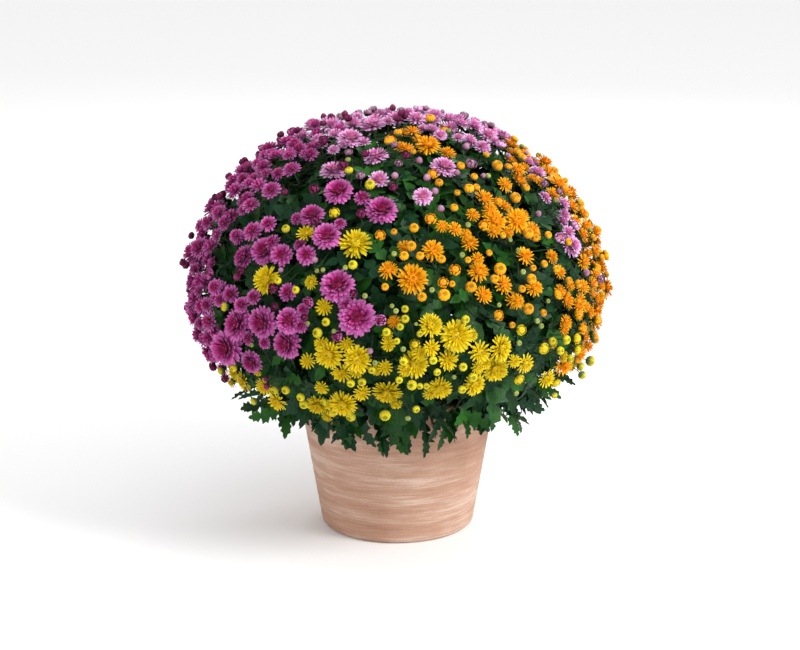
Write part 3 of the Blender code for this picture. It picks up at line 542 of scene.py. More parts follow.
@dataclass
class Planting:
    """Plans where every flower head, stalk and stem stands, by the same rule as the solids."""

    seed: int = 41
    hidden_blooms: int = 92
    hidden_buttons: int = 14
    lowest_head: float = math.radians(117.0)
    head_gap: float = 0.0009
    deepest_sink: float = 0.013
    sprays: int = 25
    hub_depth: float = 0.77
    branching_low: float = 0.805
    branching_top: float = 0.893
    lowest_hub: float = math.radians(110.0)
    root_depth: float = 0.030
    root_circle: float = 0.093
    soil_top: float = 0.156
    rim_radius: float = 0.121
    pot_height: float = 0.175
    pot_wall: float = 0.0085
    stem_radius: float = 0.0023
    pedicel_radius: float = 0.00115
    pedicel_gap: float = 0.0007
    bends: tuple[float, ...] = (0.0, 0.25, 0.50, 0.88, 1.0)
    bush_start: float = 0.40
    bush_end: float = 0.95
    bush_radius: float = 0.045
    hidden_limit: float = 0.10
    draws: int = 24
    home_scatter: float = 0.22
    lean_sideways: float = 0.30
    lean_up: float = 0.40
    slides: int = 90
    slides_between: int = 15
    slide_share: float = 0.9
    neighbour_reach: float = 0.07
    shrink_share: float = 0.51
    group_rounds: int = 12
    root_bunching: float = 0.85
    stem_lift: float = 0.040
    stem_settle: float = 0.045
    bush_gap: float = 0.0012
    wall_gap: float = 0.002
    rim_gap: float = 0.006
    crossing_reach: float = 0.12
    crossing_steps: int = 12
    branch_fall: float = 0.16
    stalk_tries: int = 40
    stalk_drop: float = 0.04
    stalk_swing: float = 0.0015
    stalk_bend: tuple[float, float] = (0.4, 0.75)

    def lean(self, rng: random.Random) -> Vector:
        """A head's own small lean."""
        side = self.lean_sideways
        return Vector((rng.uniform(-side, side), rng.uniform(-side, side), rng.uniform(0.0, self.lean_up)))

    def seen_heads(self, rng: random.Random) -> list[Head]:
        """The heads that the photograph shows, each at its pixel on the outline.

        Args:
            rng: The source of random draws.

        Returns:
            The heads.
        """
        heads = []
        for stage, table in ((Stage.BLOOM, SEEN_BLOOMS), (Stage.BUTTON, SEEN_BUTTONS)):
            for variety, rows in table.items():
                for column, row, width in rows:
                    ball = ball_seen(column, row)
                    radius = 0.5 * width * pixel_size(OUTLINE.from_ball(ball))
                    sink = rng.uniform(0.0, self.deepest_sink)
                    heads.append(Head(variety, stage, ball, radius, sink, self.lean(rng), rng.random()))
        return heads

    def hidden_ball(self, rng: random.Random, seen_limit: float) -> Vector:
        """A random direction of the part of the outline that the photograph doesn't show well.

        Args:
            rng: The source of random draws.
            seen_limit: How far its normal may turn toward the eye, as a cosine.

        Returns:
            A direction of the unit ball.
        """
        toward = (VIEW.eye - Vector((0.0, 0.0, OUTLINE.middle))).normalized()
        while True:
            ball = ball_at(rng.uniform(math.cos(self.lowest_head), 1.0), rng.uniform(0.0, 2.0 * math.pi))
            if OUTLINE.outward(ball).dot(toward) < seen_limit:
                return ball

    def home_variety(self, ball: Vector, rng: random.Random) -> Variety:
        """The plant that a hidden head belongs to: mostly the one that leans that way."""
        return max(HOME, key=lambda variety: ball.dot(HOME[variety]) + rng.uniform(0.0, self.home_scatter))

    def hidden_heads(self, rng: random.Random, heads: list[Head]) -> list[Head]:
        """Heads for the hidden side, each as far from its neighbours as the best of a few draws.

        Args:
            rng: The source of random draws.
            heads: The heads that stand already.

        Returns:
            The new heads.
        """
        placed = [(head.middle, head.radius) for head in heads]
        grown = []
        for number in range(self.hidden_blooms + self.hidden_buttons):
            balls = [self.hidden_ball(rng, self.hidden_limit) for _ in range(self.draws)]
            ball = max(balls, key=lambda ball: clearance(OUTLINE.from_ball(ball), placed))
            variety = self.home_variety(ball, rng)
            stage = Stage.BLOOM if number < self.hidden_blooms else Stage.BUTTON
            low, high = BLOOM_RADII[variety] if stage is Stage.BLOOM else BUTTON_RADII
            sink = rng.uniform(0.0, self.deepest_sink)
            head = Head(variety, stage, ball, rng.uniform(low, high), sink, self.lean(rng), rng.random())
            grown.append(head)
            placed.append((head.middle, head.radius))
        return grown

    def spread(self, heads: list[Head]) -> None:
        """Slide the heads over the outline until no two of them touch.

        Args:
            heads: The heads.
        """
        near: list[tuple[int, int]] = []
        for turn in range(self.slides):
            places = [head.middle for head in heads]
            pushes = [Vector() for _ in heads]
            if turn % self.slides_between == 0:
                pairs = combinations(range(len(heads)), 2)
                near = [(i, j) for i, j in pairs if (places[i] - places[j]).length < self.neighbour_reach]
            for i, j in near:
                gap = places[i] - places[j]
                short = heads[i].radius + heads[j].radius + self.head_gap - gap.length
                if short > 0.0:
                    push = gap.normalized() * short
                    pushes[i] += push * 0.5
                    pushes[j] -= push * 0.5
            for head, push in zip(heads, pushes):
                if push.length > 0.0:
                    moved = OUTLINE.from_ball(head.ball) + push * self.slide_share
                    head.ball = OUTLINE.to_ball(moved).normalized()

    def shrink_touching(self, heads: list[Head]) -> None:
        """Make the last heads that still touch a little smaller.

        Args:
            heads: The heads.
        """
        for head, other in combinations(heads, 2):
            short = head.radius + other.radius + self.head_gap - (head.middle - other.middle).length
            if short > 0.0:
                head.radius -= self.shrink_share * short
                other.radius -= self.shrink_share * short

    def group(self, heads: list[Head], count: int) -> list[list[Head]]:
        """Sort heads into groups of near neighbours, starting from heads that lie far apart.

        Args:
            heads: The heads of one plant.
            count: How many groups to make.

        Returns:
            The groups that aren't empty.
        """
        centres = [heads[0].ball]
        while len(centres) < count:
            far = min(heads, key=lambda head: max(head.ball.dot(centre) for centre in centres))
            centres.append(far.ball)
        groups: list[list[Head]] = []
        for _ in range(self.group_rounds):
            groups = [[] for _ in centres]
            for head in heads:
                groups[max(range(count), key=lambda k: head.ball.dot(centres[k]))].append(head)
            centres = [
                sum((head.ball for head in group), Vector()).normalized() if group else centre
                for group, centre in zip(groups, centres)
            ]
        return [members for members in groups if members]

    def hub_of(self, members: list[Head]) -> Vector:
        """The direction of a spray's middle stalk, kept above the pot's rim.

        Args:
            members: The heads of the spray.

        Returns:
            A direction of the unit ball.
        """
        hub = sum((head.ball for head in members), Vector()).normalized()
        lowest = math.cos(self.lowest_hub)
        if hub.z < lowest:
            flat = Vector((hub.x, hub.y, 0.0)).normalized() * math.sqrt(1.0 - lowest * lowest)
            hub = Vector((flat.x, flat.y, lowest))
        return hub

    def make_sprays(self, heads: list[Head]) -> list[Spray]:
        """Share the heads out over sprays of one plant each.

        Args:
            heads: The flower heads.

        Returns:
            The sprays, in the order of their numbers.
        """
        sprays: list[Spray] = []
        for variety in Variety:
            own = [head for head in heads if head.variety is variety]
            count = max(1, round(self.sprays * len(own) / len(heads)))
            for members in self.group(own, count):
                number = len(sprays)
                for head in members:
                    head.spray = number
                sprays.append(Spray(variety, number, self.hub_of(members), members))
        return sprays

    def stem_path(self, spray: Spray) -> list[Vector]:
        """The stem's line from its root in the soil to the place where the flower stalks begin.

        Args:
            spray: The spray.

        Returns:
            The points of the line, from the bottom up.
        """
        hub = spray.hub
        top = OUTLINE.from_ball(hub * self.hub_depth)
        turn = math.atan2(hub.y, hub.x)
        reach = self.root_circle * min(1.0, polar_angle(hub) / self.lowest_hub) ** self.root_bunching
        foot = Vector((reach * math.cos(turn), reach * math.sin(turn), self.soil_top))
        lift = UP * self.stem_lift
        settle = (spray.crown - top).normalized() * self.stem_settle
        points = [foot - UP * self.root_depth]
        for t in self.bends:
            points.append(
                foot * (1 - t) ** 3
                + (foot + lift) * 3 * t * (1 - t) ** 2
                + (top - settle) * 3 * t * t * (1 - t)
                + top * t ** 3
            )
        return points

    def fill_bushes(self, sprays: list[Spray]) -> None:
        """Set how thick the leafy mass round each stem can be without reaching the next stem's.

        Args:
            sprays: All the sprays.
        """
        for spray in sprays:
            for index, point in enumerate(spray.path):
                if index == 0 or not self.bush_start <= self.bends[index - 1] <= self.bush_end:
                    spray.girth.append(self.stem_radius)
                    continue
                room = self.bush_radius
                for other in sprays:
                    if other is spray:
                        continue
                    for a, b in zip(other.path, other.path[1:]):
                        room = min(room, 0.5 * segment_gap(point, point, a, b) - self.bush_gap)
                beside_wall = self.rim_radius - math.hypot(point.x, point.y) - self.pot_wall - self.wall_gap
                if point.z - room < self.pot_height + self.rim_gap:
                    room = min(room, max(beside_wall, point.z - self.pot_height - self.rim_gap))
                spray.girth.append(max(self.stem_radius, room))

    def route_clear(self, route: list[Vector], spray: Spray, sprays: list[Spray], laid: list) -> bool:
        """Whether a flower stalk keeps clear of the other sprays' heads and stalks.

        Args:
            route: The points of the stalk.
            spray: The spray it belongs to.
            sprays: All the sprays.
            laid: The stalks laid so far: spray number and both ends.

        Returns:
            True if nothing is in its way.
        """
        margin = 2.0 * self.pedicel_radius + self.pedicel_gap
        for a, b in zip(route, route[1:]):
            for number, c, d in laid:
                if number != spray.number and segment_gap(a, b, c, d) < margin:
                    return False
            for other in sprays:
                if other is spray:
                    continue
                for head in other.heads:
                    if (head.middle - a).length > self.crossing_reach:
                        continue
                    for step in range(self.crossing_steps + 1):
                        point = a.lerp(b, step / self.crossing_steps)
                        if in_head(point, head, self.pedicel_radius + self.pedicel_gap):
                            return False
        return True

    def lay_stalks(self, sprays: list[Spray], rng: random.Random) -> None:
        """Give every head a stalk from its spray's middle stalk, clear of the other sprays.

        Args:
            sprays: All the sprays.
            rng: The source of random draws.
        """
        laid = []
        for spray in sprays:
            laid.append((spray.number, OUTLINE.from_ball(spray.hub * self.hub_depth), spray.crown))
        for spray in sprays:
            for head in sorted(spray.heads, key=lambda head: -head.ball.dot(spray.hub)):
                wide = math.acos(max(-1.0, min(1.0, head.ball.dot(spray.hub))))
                fall = min(self.branching_top - self.branching_low, self.branch_fall * wide)
                level = self.branching_top - fall
                route: list[Vector] = []
                for attempt in range(self.stalk_tries):
                    drop = 0.0 if attempt == 0 else rng.uniform(0.0, self.stalk_drop)
                    root = OUTLINE.from_ball(spray.hub * max(self.branching_low, level - drop))
                    route = [root, head.foot]
                    if attempt:
                        bend = root.lerp(head.foot, rng.uniform(*self.stalk_bend))
                        bend += scattered(rng, self.stalk_swing * attempt)
                        route.insert(1, bend)
                    if self.route_clear(route, spray, sprays, laid):
                        break
                head.stalk = route
                laid += [(spray.number, a, b) for a, b in zip(route, route[1:])]

    def plan(self) -> list[Spray]:
        """Plan the whole pot.

        Returns:
            All the sprays, with their heads and stems in place.
        """
        rng = random.Random(self.seed)
        heads = self.seen_heads(rng)
        heads += self.hidden_heads(rng, heads)
        self.spread(heads)
        self.shrink_touching(heads)
        sprays = self.make_sprays(heads)
        for spray in sprays:
            spray.path = self.stem_path(spray)
        self.fill_bushes(sprays)
        self.lay_stalks(sprays, rng)
        return sprays


def in_head(point: Vector, head: Head, margin: float) -> bool:
    """Whether a point is inside a flower head or near it.

    Args:
        point: The point.
        head: The flower head.
        margin: How near counts as inside.

    Returns:
        True if it is.
    """
    offset = point - head.middle
    rise = offset.dot(head.facing)
    if rise < -HEAD_BELOW * head.radius - margin or rise > HEAD_ABOVE * head.radius + margin:
        return False
    return (offset - head.facing * rise).length <= head.radius + margin


def nearest_head(sprays: list[Spray], variety: Variety, place: Vector) -> Head:
    """The head of one plant that is nearest to a place."""
    heads = [head for spray in sprays if spray.variety is variety for head in spray.heads]
    return min(heads, key=lambda head: (head.middle - place).length)


@dataclass
class LeafPlace:
    """Where one leaf grows: its root, the way it points, its upper side and its size."""

    root: Vector
    along: Vector
    face: Vector
    length: float
    droop: float

    @property
    def side(self) -> Vector:
        """The direction across the blade."""
        return self.along.cross(self.face)

    def at(self, share: float, across: float) -> Vector:
        """A point of the leaf, by its share of the length and its sideways share."""
        arc = self.along * share - self.face * self.droop * share * share
        return self.root + (arc + self.side * across) * self.length

    @property
    def tip(self) -> Vector:
        """The end of the blade."""
        return self.at(1.0, 0.0)

    def place(self) -> Matrix:
        """The matrix that puts a leaf of unit length here: its length on X, its upper side on Z."""
        turn = Matrix((self.along, -self.side, self.face)).transposed().to_4x4()
        return Matrix.Translation(self.root) @ turn @ Matrix.Scale(self.length, 4)


@dataclass
class LargeLeaves:
    """The large leaves that the solids have, found again by the same draws."""

    seed: int = 41
    leaf_sink: float = 0.006
    tries: int = 90
    skirt_polar: float = math.radians(78.0)
    skirt_leaves: int = 5
    skirt_standing: int = 2
    canopy_leaves: int = 4
    match: float = 0.0005
    hanging_spots: tuple[float, float] = (2.9, 4.0)
    standing_spots: tuple[float, float] = (3.3, 4.3)
    hanging_lengths: tuple[float, float] = (0.070, 0.094)
    standing_lengths: tuple[float, float] = (0.072, 0.102)
    hanging_droops: tuple[float, float] = (0.02, 0.14)
    standing_droops: tuple[float, float] = (0.05, 0.28)
    root_depth: float = 0.60

    def draw(self, spray: Spray, number: int, hanging: bool, attempt: int) -> LeafPlace:
        """One seeded draw of a leaf's place on its spray.

        Args:
            spray: The spray that carries it.
            number: Its number on the spray.
            hanging: Whether it hangs over the rim.
            attempt: The number of the draw.

        Returns:
            The leaf's place.
        """
        rng = random.Random(self.seed + 100000 * spray.number + 1000 * number + attempt)
        spot = rng.uniform(*(self.hanging_spots if hanging else self.standing_spots))
        middle, stem, girth = spray.along_stem(spot)
        out = Vector((middle.x, middle.y, 0.0)).normalized()
        across = UP.cross(out)
        if hanging:
            swing = rng.uniform(-1.0, 1.0)
            away = out * 0.8 + across * 1.1 * swing - UP * 0.25
            away = squared_to(away, stem)
            along = (out * rng.uniform(0.25, 0.75) + across * 0.35 * swing - UP).normalized()
            length = rng.uniform(*self.hanging_lengths)
            droop = rng.uniform(*self.hanging_droops)
            face = out + UP * 0.25 + across * rng.uniform(-0.3, 0.3)
        else:
            turn = rng.uniform(0.0, 2.0 * math.pi)
            first = stem.orthogonal().normalized()
            away = (first * math.cos(turn) + stem.cross(first) * math.sin(turn)).normalized()
            normal = OUTLINE.outward(spray.hub)
            along = (away * rng.uniform(0.4, 1.3) + normal * rng.uniform(0.6, 1.0)).normalized()
            length = rng.uniform(*self.standing_lengths)
            droop = rng.uniform(*self.standing_droops)
            face = normal + UP * 0.3
        root = middle + away * max(0.0, girth * self.root_depth - self.leaf_sink)
        return LeafPlace(root, along, squared_to(face, along), length, droop)

    def find(self, spray: Spray, node: Object) -> list[LeafPlace]:
        """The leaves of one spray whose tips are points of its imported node.

        Args:
            spray: The spray.
            node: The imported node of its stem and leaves.

        Returns:
            The leaves' places.
        """
        points = tree_of([vertex.co for vertex in node.data.vertices])
        low = polar_angle(spray.hub) > self.skirt_polar
        hanging, standing = (self.skirt_leaves, self.skirt_standing) if low else (0, self.canopy_leaves)
        leaves = []
        for number in range(hanging + standing):
            for attempt in range(self.tries):
                leaf = self.draw(spray, number, number < hanging, attempt)
                if points.find(leaf.tip)[2] < self.match:
                    leaves.append(leaf)
                    break
        return leaves


# Finishes

Colour = tuple[float, float, float]
# The places of a colour mix's own inputs and output among the node's sockets
MIX_FIRST = 6
MIX_SECOND = 7
MIX_RESULT = 2


class Paint:
    """Adds shader nodes to one material and wires them up."""

    def __init__(self, name: str) -> None:
        """Start a material of that name with its own shader.

        Args:
            name: The material's name.
        """
        self.material = bpy.data.materials.new(name)
        self.material.use_nodes = True
        self.tree = self.material.node_tree
        self.shader = self.tree.nodes["Principled BSDF"]

    def node(self, kind: str, **settings: object) -> bpy.types.Node:
        """A new node with its settings.

        Args:
            kind: Blender's name for the kind of node.
            settings: Its settings by name.

        Returns:
            The node.
        """
        made = self.tree.nodes.new(kind)
        for key, value in settings.items():
            setattr(made, key, value)
        return made

    def put(self, socket: NodeSocket, value: object) -> None:
        """Wire a socket to another one, or set it to a plain value.

        Args:
            socket: The socket.
            value: The other socket, a number or a colour.
        """
        if isinstance(value, NodeSocket):
            self.tree.links.new(value, socket)
        elif isinstance(value, tuple) and len(value) == 3 and socket.type == "RGBA":
            socket.default_value = (*value, 1.0)
        else:
            socket.default_value = value

    def attribute(self, name: str) -> NodeSocket:
        """A number that the mesh holds at each point."""
        return self.node("ShaderNodeAttribute", attribute_name=name).outputs["Fac"]

    def place(self, scale: Sequence[float] = (1.0, 1.0, 1.0)) -> NodeSocket:
        """Object coordinates, stretched.

        Args:
            scale: How much each axis is stretched.

        Returns:
            The stretched coordinates.
        """
        source = self.node("ShaderNodeTexCoord").outputs["Object"]
        mapping = self.node("ShaderNodeMapping")
        mapping.inputs["Scale"].default_value = tuple(scale)
        self.put(mapping.inputs["Vector"], source)
        return mapping.outputs["Vector"]

    def math(self, operation: str, first: object, second: object = 0.0, clamp: bool = False) -> NodeSocket:
        """A sum on one or two numbers.

        Args:
            operation: Blender's name for the sum.
            first: The first number.
            second: The second number.
            clamp: Whether to keep the result from 0 to 1.

        Returns:
            The result.
        """
        made = self.node("ShaderNodeMath", operation=operation, use_clamp=clamp)
        self.put(made.inputs[0], first)
        self.put(made.inputs[1], second)
        return made.outputs[0]

    def spread(
        self, value: object, low: float, high: float, to: tuple[float, float] = (0.0, 1.0)
    ) -> NodeSocket:
        """A number moved smoothly from one range to another.

        Args:
            value: The number.
            low: Where its own range starts.
            high: Where its own range ends.
            to: The range it is moved to.

        Returns:
            The result.
        """
        made = self.node("ShaderNodeMapRange", interpolation_type="SMOOTHSTEP")
        for name, number in (("From Min", low), ("From Max", high), ("To Min", to[0]), ("To Max", to[1])):
            made.inputs[name].default_value = number
        self.put(made.inputs["Value"], value)
        return made.outputs["Result"]

    def noise(self, vector: NodeSocket, scale: float, detail: float = 2.0, rough: float = 0.5) -> NodeSocket:
        """Cloudy noise from 0 to 1.

        Args:
            vector: Where the pattern is read.
            scale: Its spots in a metre.
            detail: How fine it goes.
            rough: How strong the fine part is.

        Returns:
            The noise.
        """
        made = self.node("ShaderNodeTexNoise")
        made.inputs["Scale"].default_value = scale
        made.inputs["Detail"].default_value = detail
        made.inputs["Roughness"].default_value = rough
        self.put(made.inputs["Vector"], vector)
        return made.outputs["Fac"]

    def ramp(self, value: NodeSocket, stops: Sequence[tuple[float, Colour]]) -> NodeSocket:
        """A colour that runs through several stops.

        Args:
            value: The place along it.
            stops: The place and colour of each stop.

        Returns:
            The colour.
        """
        made = self.node("ShaderNodeValToRGB")
        band = made.color_ramp
        while len(band.elements) < len(stops):
            band.elements.new(0.5)
        for element, (position, colour) in zip(band.elements, stops):
            element.position = position
            element.color = (*colour, 1.0)
        self.put(made.inputs["Fac"], value)
        return made.outputs["Color"]

    def mix(self, share: object, first: object, second: object, blend: str = "MIX") -> NodeSocket:
        """A mix of two colours.

        Args:
            share: The second colour's share.
            first: The first colour.
            second: The second colour.
            blend: Blender's name for the kind of mix.

        Returns:
            The colour.
        """
        made = self.node("ShaderNodeMix", data_type="RGBA", blend_type=blend)
        self.put(made.inputs[0], share)
        self.put(made.inputs[MIX_FIRST], first)
        self.put(made.inputs[MIX_SECOND], second)
        return made.outputs[MIX_RESULT]

    def brighten(self, colour: NodeSocket, value: NodeSocket) -> NodeSocket:
        """A colour with its brightness changed.

        Args:
            colour: The colour.
            value: What its brightness is multiplied by.

        Returns:
            The changed colour.
        """
        made = self.node("ShaderNodeHueSaturation")
        self.put(made.inputs["Value"], value)
        self.put(made.inputs["Color"], colour)
        return made.outputs["Color"]

    def about_one(self, value: NodeSocket, swing: float) -> NodeSocket:
        """One, moved up or down by a number.

        Args:
            value: The number, from -1 to 1.
            swing: How far it moves the result.

        Returns:
            The result.
        """
        made = self.math("MULTIPLY_ADD", value, swing)
        made.node.inputs[2].default_value = 1.0
        return made

    def bump(self, height: NodeSocket, depth: float, strength: float = 1.0) -> None:
        """Relief of a real depth in metres.

        Args:
            height: The relief from 0 to 1.
            depth: Its depth.
            strength: The share of it that shows.
        """
        made = self.node("ShaderNodeBump")
        made.inputs["Strength"].default_value = strength
        made.inputs["Distance"].default_value = depth
        self.put(made.inputs["Height"], height)
        self.put(self.shader.inputs["Normal"], made.outputs["Normal"])

    def finish(self, colour: NodeSocket, roughness: object, specular: float = 0.5) -> Material:
        """Wire the shader's colour and roughness.

        Args:
            colour: The base colour.
            roughness: A number or a socket.
            specular: How strongly the surface mirrors.

        Returns:
            The material.
        """
        self.put(self.shader.inputs["Base Color"], colour)
        self.put(self.shader.inputs["Roughness"], roughness)
        self.shader.inputs["Specular IOR Level"].default_value = specular
        return self.material


@dataclass(frozen=True)
class PetalFinish:
    """The colours of one plant's petals, from the heart of the flower to the petal's tip."""

    heart: Colour
    inner: Colour
    outer: Colour
    tip: Colour
    tip_start: float
    roughness: float = 0.55
    sheen: float = 0.06
    specular: float = 0.22
    row_share: float = 0.72
    length_share: float = 0.28
    # Painted shade: how much darker the petal is drawn in bands along its grooves
    groove_painted_shade: float = 0.035
    vein_shade: float = 0.10
    sheen_roughness: float = 0.4
    grooves: float = 7.5
    groove_depth: float = 0.00022
    vein_scale: float = 900.0
    mottle: float = 0.16

    def make(self, name: str) -> Material:
        """The petal material.

        Args:
            name: The material's name.

        Returns:
            The material.
        """
        paint = Paint(name)
        along = paint.attribute("along")
        row = paint.attribute("row")
        shade = paint.attribute("shade")
        reach = paint.math("MULTIPLY", row, self.row_share)
        reach = paint.math("ADD", reach, paint.math("MULTIPLY", along, self.length_share))
        colour = paint.ramp(reach, ((0.10, self.heart), (0.42, self.inner), (0.85, self.outer)))
        fade = paint.spread(along, self.tip_start, 1.0)
        fade = paint.math("MULTIPLY", fade, paint.spread(row, 0.15, 0.7))
        colour = paint.mix(fade, colour, self.tip)
        across = paint.attribute("across")
        groove = paint.math("COSINE", paint.math("MULTIPLY", across, self.grooves))
        vein = paint.noise(paint.place(), self.vein_scale)
        value = paint.about_one(shade, self.mottle)
        # Painted groove shading: darker bands along the petal's grooves
        value = paint.math("ADD", value, paint.math("MULTIPLY", groove, -self.groove_painted_shade))
        value = paint.math("ADD", value, paint.math("MULTIPLY", vein, self.vein_shade))
        colour = paint.brighten(colour, value)
        paint.bump(paint.math("ADD", groove, vein), self.groove_depth, 0.6)
        paint.shader.inputs["Sheen Weight"].default_value = self.sheen
        paint.shader.inputs["Sheen Roughness"].default_value = self.sheen_roughness
        return paint.finish(colour, self.roughness, self.specular)


@dataclass(frozen=True)
class EyeFinish:
    """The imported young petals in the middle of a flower."""

    colour: Colour
    pit: Colour
    grain_scale: float = 1500.0
    grain_depth: float = 0.0006
    roughness: float = 0.6
    specular: float = 0.3

    def make(self, name: str) -> Material:
        """The eye material.

        Args:
            name: The material's name.

        Returns:
            The material.
        """
        paint = Paint(name)
        grain = paint.noise(paint.place(), self.grain_scale)
        along = paint.attribute("along")
        colour = paint.mix(paint.spread(along, 0.66, 0.95), self.colour, self.pit)
        colour = paint.brighten(colour, paint.spread(grain, 0.2, 0.8, (0.7, 1.3)))
        paint.bump(grain, self.grain_depth)
        return paint.finish(colour, self.roughness, self.specular)


@dataclass(frozen=True)
class LeafFinish:
    """The leaves: dark green above with paler veins, greyer below."""

    deep: Colour = (0.004, 0.034, 0.005)
    fresh: Colour = (0.014, 0.086, 0.007)
    blue: Colour = (0.003, 0.042, 0.013)
    vein: Colour = (0.030, 0.110, 0.024)
    below: Colour = (0.016, 0.068, 0.018)
    roughness: float = 0.45
    specular: float = 0.20
    vein_share: float = 0.55
    below_share: float = 0.75
    cloud_scale: float = 55.0
    pucker_scale: float = 320.0
    side_veins: float = 46.0
    vein_slant: float = 0.20
    relief: float = 0.0009
    mottle: float = 0.18

    def make(self, name: str) -> Material:
        """The leaf material.

        Args:
            name: The material's name.

        Returns:
            The material.
        """
        paint = Paint(name)
        along = paint.attribute("along")
        across = paint.math("ABSOLUTE", paint.attribute("across"))
        shade = paint.attribute("shade")
        under = paint.attribute("row")
        cloud = paint.noise(paint.place(), self.cloud_scale, 3.0)
        tone = paint.math("ADD", paint.math("MULTIPLY", shade, 0.5), cloud)
        colour = paint.ramp(tone, ((0.22, self.blue), (0.50, self.deep), (0.90, self.fresh)))
        slant = paint.math("SUBTRACT", along, paint.math("MULTIPLY", across, self.vein_slant))
        rib = paint.math("COSINE", paint.math("MULTIPLY", slant, self.side_veins))
        rib = paint.spread(rib, 0.86, 1.0)
        midrib = paint.spread(across, 0.10, 0.02)
        veins = paint.math("MAXIMUM", paint.math("MULTIPLY", rib, 0.5), midrib)
        colour = paint.mix(paint.math("MULTIPLY", veins, self.vein_share), colour, self.vein)
        colour = paint.mix(paint.math("MULTIPLY", under, self.below_share), colour, self.below)
        value = paint.about_one(shade, self.mottle)
        colour = paint.brighten(colour, value)
        puckers = paint.noise(paint.place(), self.pucker_scale)
        raised = paint.math("MULTIPLY", puckers, 0.7)
        height = paint.math("SUBTRACT", raised, paint.math("MULTIPLY", veins, 0.6))
        paint.bump(height, self.relief, 0.8)
        rough = paint.spread(puckers, 0.2, 0.8, (self.roughness - 0.08, self.roughness + 0.12))
        return paint.finish(colour, rough, self.specular)


@dataclass(frozen=True)
class StemFinish:
    """The stems and flower stalks: grey-green, finely ribbed and downy."""

    light: Colour = (0.032, 0.070, 0.020)
    dark: Colour = (0.012, 0.032, 0.010)
    rib_scale: float = 700.0
    rib_stretch: float = 0.15
    rib_depth: float = 0.0003
    cloud_scale: float = 60.0
    down: float = 0.08
    roughness: float = 0.65
    specular: float = 0.15

    def make(self, name: str) -> Material:
        """The stem material.

        Args:
            name: The material's name.

        Returns:
            The material.
        """
        paint = Paint(name)
        streak = paint.noise(paint.place((1.0, 1.0, self.rib_stretch)), self.rib_scale, 3.0)
        cloud = paint.noise(paint.place(), self.cloud_scale)
        colour = paint.mix(cloud, self.dark, self.light)
        colour = paint.brighten(colour, paint.spread(streak, 0.2, 0.8, (0.8, 1.2)))
        paint.bump(streak, self.rib_depth, 0.8)
        paint.shader.inputs["Sheen Weight"].default_value = self.down
        return paint.finish(colour, self.roughness, self.specular)


@dataclass(frozen=True)
class BudFinish:
    """A closed bud: green scales below, then the first petals, packed in ribs, and a small eye."""

    scale: Colour
    side: Colour
    crown: Colour
    eye: Colour
    scale_tips: float = 50.0
    ribs: float = 75.0
    rib_depth: float = 0.0005
    mottle: float = 0.20
    fray: float = 0.03
    # Painted shade and light: how much darker the furrows and lighter the ribs are drawn
    rib_painted_shade: float = 0.10
    roughness: float = 0.6
    specular: float = 0.18

    def make(self, name: str) -> Material:
        """The bud material.

        Args:
            name: The material's name.

        Returns:
            The material.
        """
        paint = Paint(name)
        along = paint.attribute("along")
        across = paint.attribute("across")
        shade = paint.attribute("shade")
        fray = paint.math("SINE", paint.math("MULTIPLY", across, self.scale_tips))
        fray = paint.math("MULTIPLY", fray, self.fray)
        level = paint.math("ADD", along, fray)
        stops = (
            (0.30, self.scale),
            (0.42, self.side),
            (0.66, self.crown),
            (0.74, self.crown),
            (0.83, self.eye),
        )
        colour = paint.ramp(level, stops)
        colour = paint.mix(paint.spread(along, 0.88, 0.99, (0.0, 0.6)), colour, self.crown)
        rib = paint.math("COSINE", paint.math("MULTIPLY", across, self.ribs))
        value = paint.about_one(shade, self.mottle)
        # Painted shade in the furrows between the ribs, and painted light on the ribs
        value = paint.math("ADD", value, paint.math("MULTIPLY", rib, self.rib_painted_shade))
        colour = paint.brighten(colour, value)
        paint.bump(rib, self.rib_depth, 0.7)
        return paint.finish(colour, self.roughness, self.specular)


@dataclass(frozen=True)
class ClayFinish:
    """Terracotta with lime wash brushed round it in pale streaks, and bare darker clay between."""

    clay: Colour = (0.465, 0.270, 0.188)
    dark: Colour = (0.330, 0.168, 0.108)
    lime: Colour = (0.660, 0.480, 0.385)
    broad_streaks: tuple[float, float, float] = (2.0, 2.0, 24.0)
    fine_streaks: tuple[float, float, float] = (9.0, 9.0, 210.0)
    streak_scale: float = 2.6
    grain_scale: float = 850.0
    relief: float = 0.0012
    broad_share: float = 0.52
    fine_share: float = 0.48
    cloud_share: float = 0.35
    grain_share: float = 0.25
    bare_share: float = 0.60
    specular: float = 0.25

    def make(self, name: str) -> Material:
        """The clay material.

        Args:
            name: The material's name.

        Returns:
            The material.
        """
        paint = Paint(name)
        broad = paint.noise(paint.place(self.broad_streaks), self.streak_scale, 4.0, 0.55)
        fine = paint.noise(paint.place(self.fine_streaks), self.streak_scale, 6.0, 0.72)
        cloud = paint.noise(paint.place((1.0, 1.0, 1.6)), 9.0, 3.0)
        grain = paint.noise(paint.place(), self.grain_scale, 3.0, 0.6)
        wash = paint.math("MULTIPLY", broad, self.broad_share)
        wash = paint.math("ADD", wash, paint.math("MULTIPLY", fine, self.fine_share))
        cloud = paint.math("SUBTRACT", cloud, 0.5)
        wash = paint.math("ADD", wash, paint.math("MULTIPLY", cloud, self.cloud_share))
        bare = paint.spread(wash, 0.36, 0.47, (1.0, 0.0))
        pale = paint.spread(wash, 0.46, 0.66)
        colour = paint.mix(pale, self.clay, self.lime)
        colour = paint.mix(paint.math("MULTIPLY", bare, self.bare_share), colour, self.dark)
        colour = paint.brighten(colour, paint.spread(grain, 0.25, 0.75, (0.88, 1.12)))
        height = paint.math("ADD", wash, paint.math("MULTIPLY", grain, self.grain_share))
        paint.bump(height, self.relief, 0.7)
        rough = paint.spread(pale, 0.0, 1.0, (0.80, 0.95))
        return paint.finish(colour, rough, self.specular)


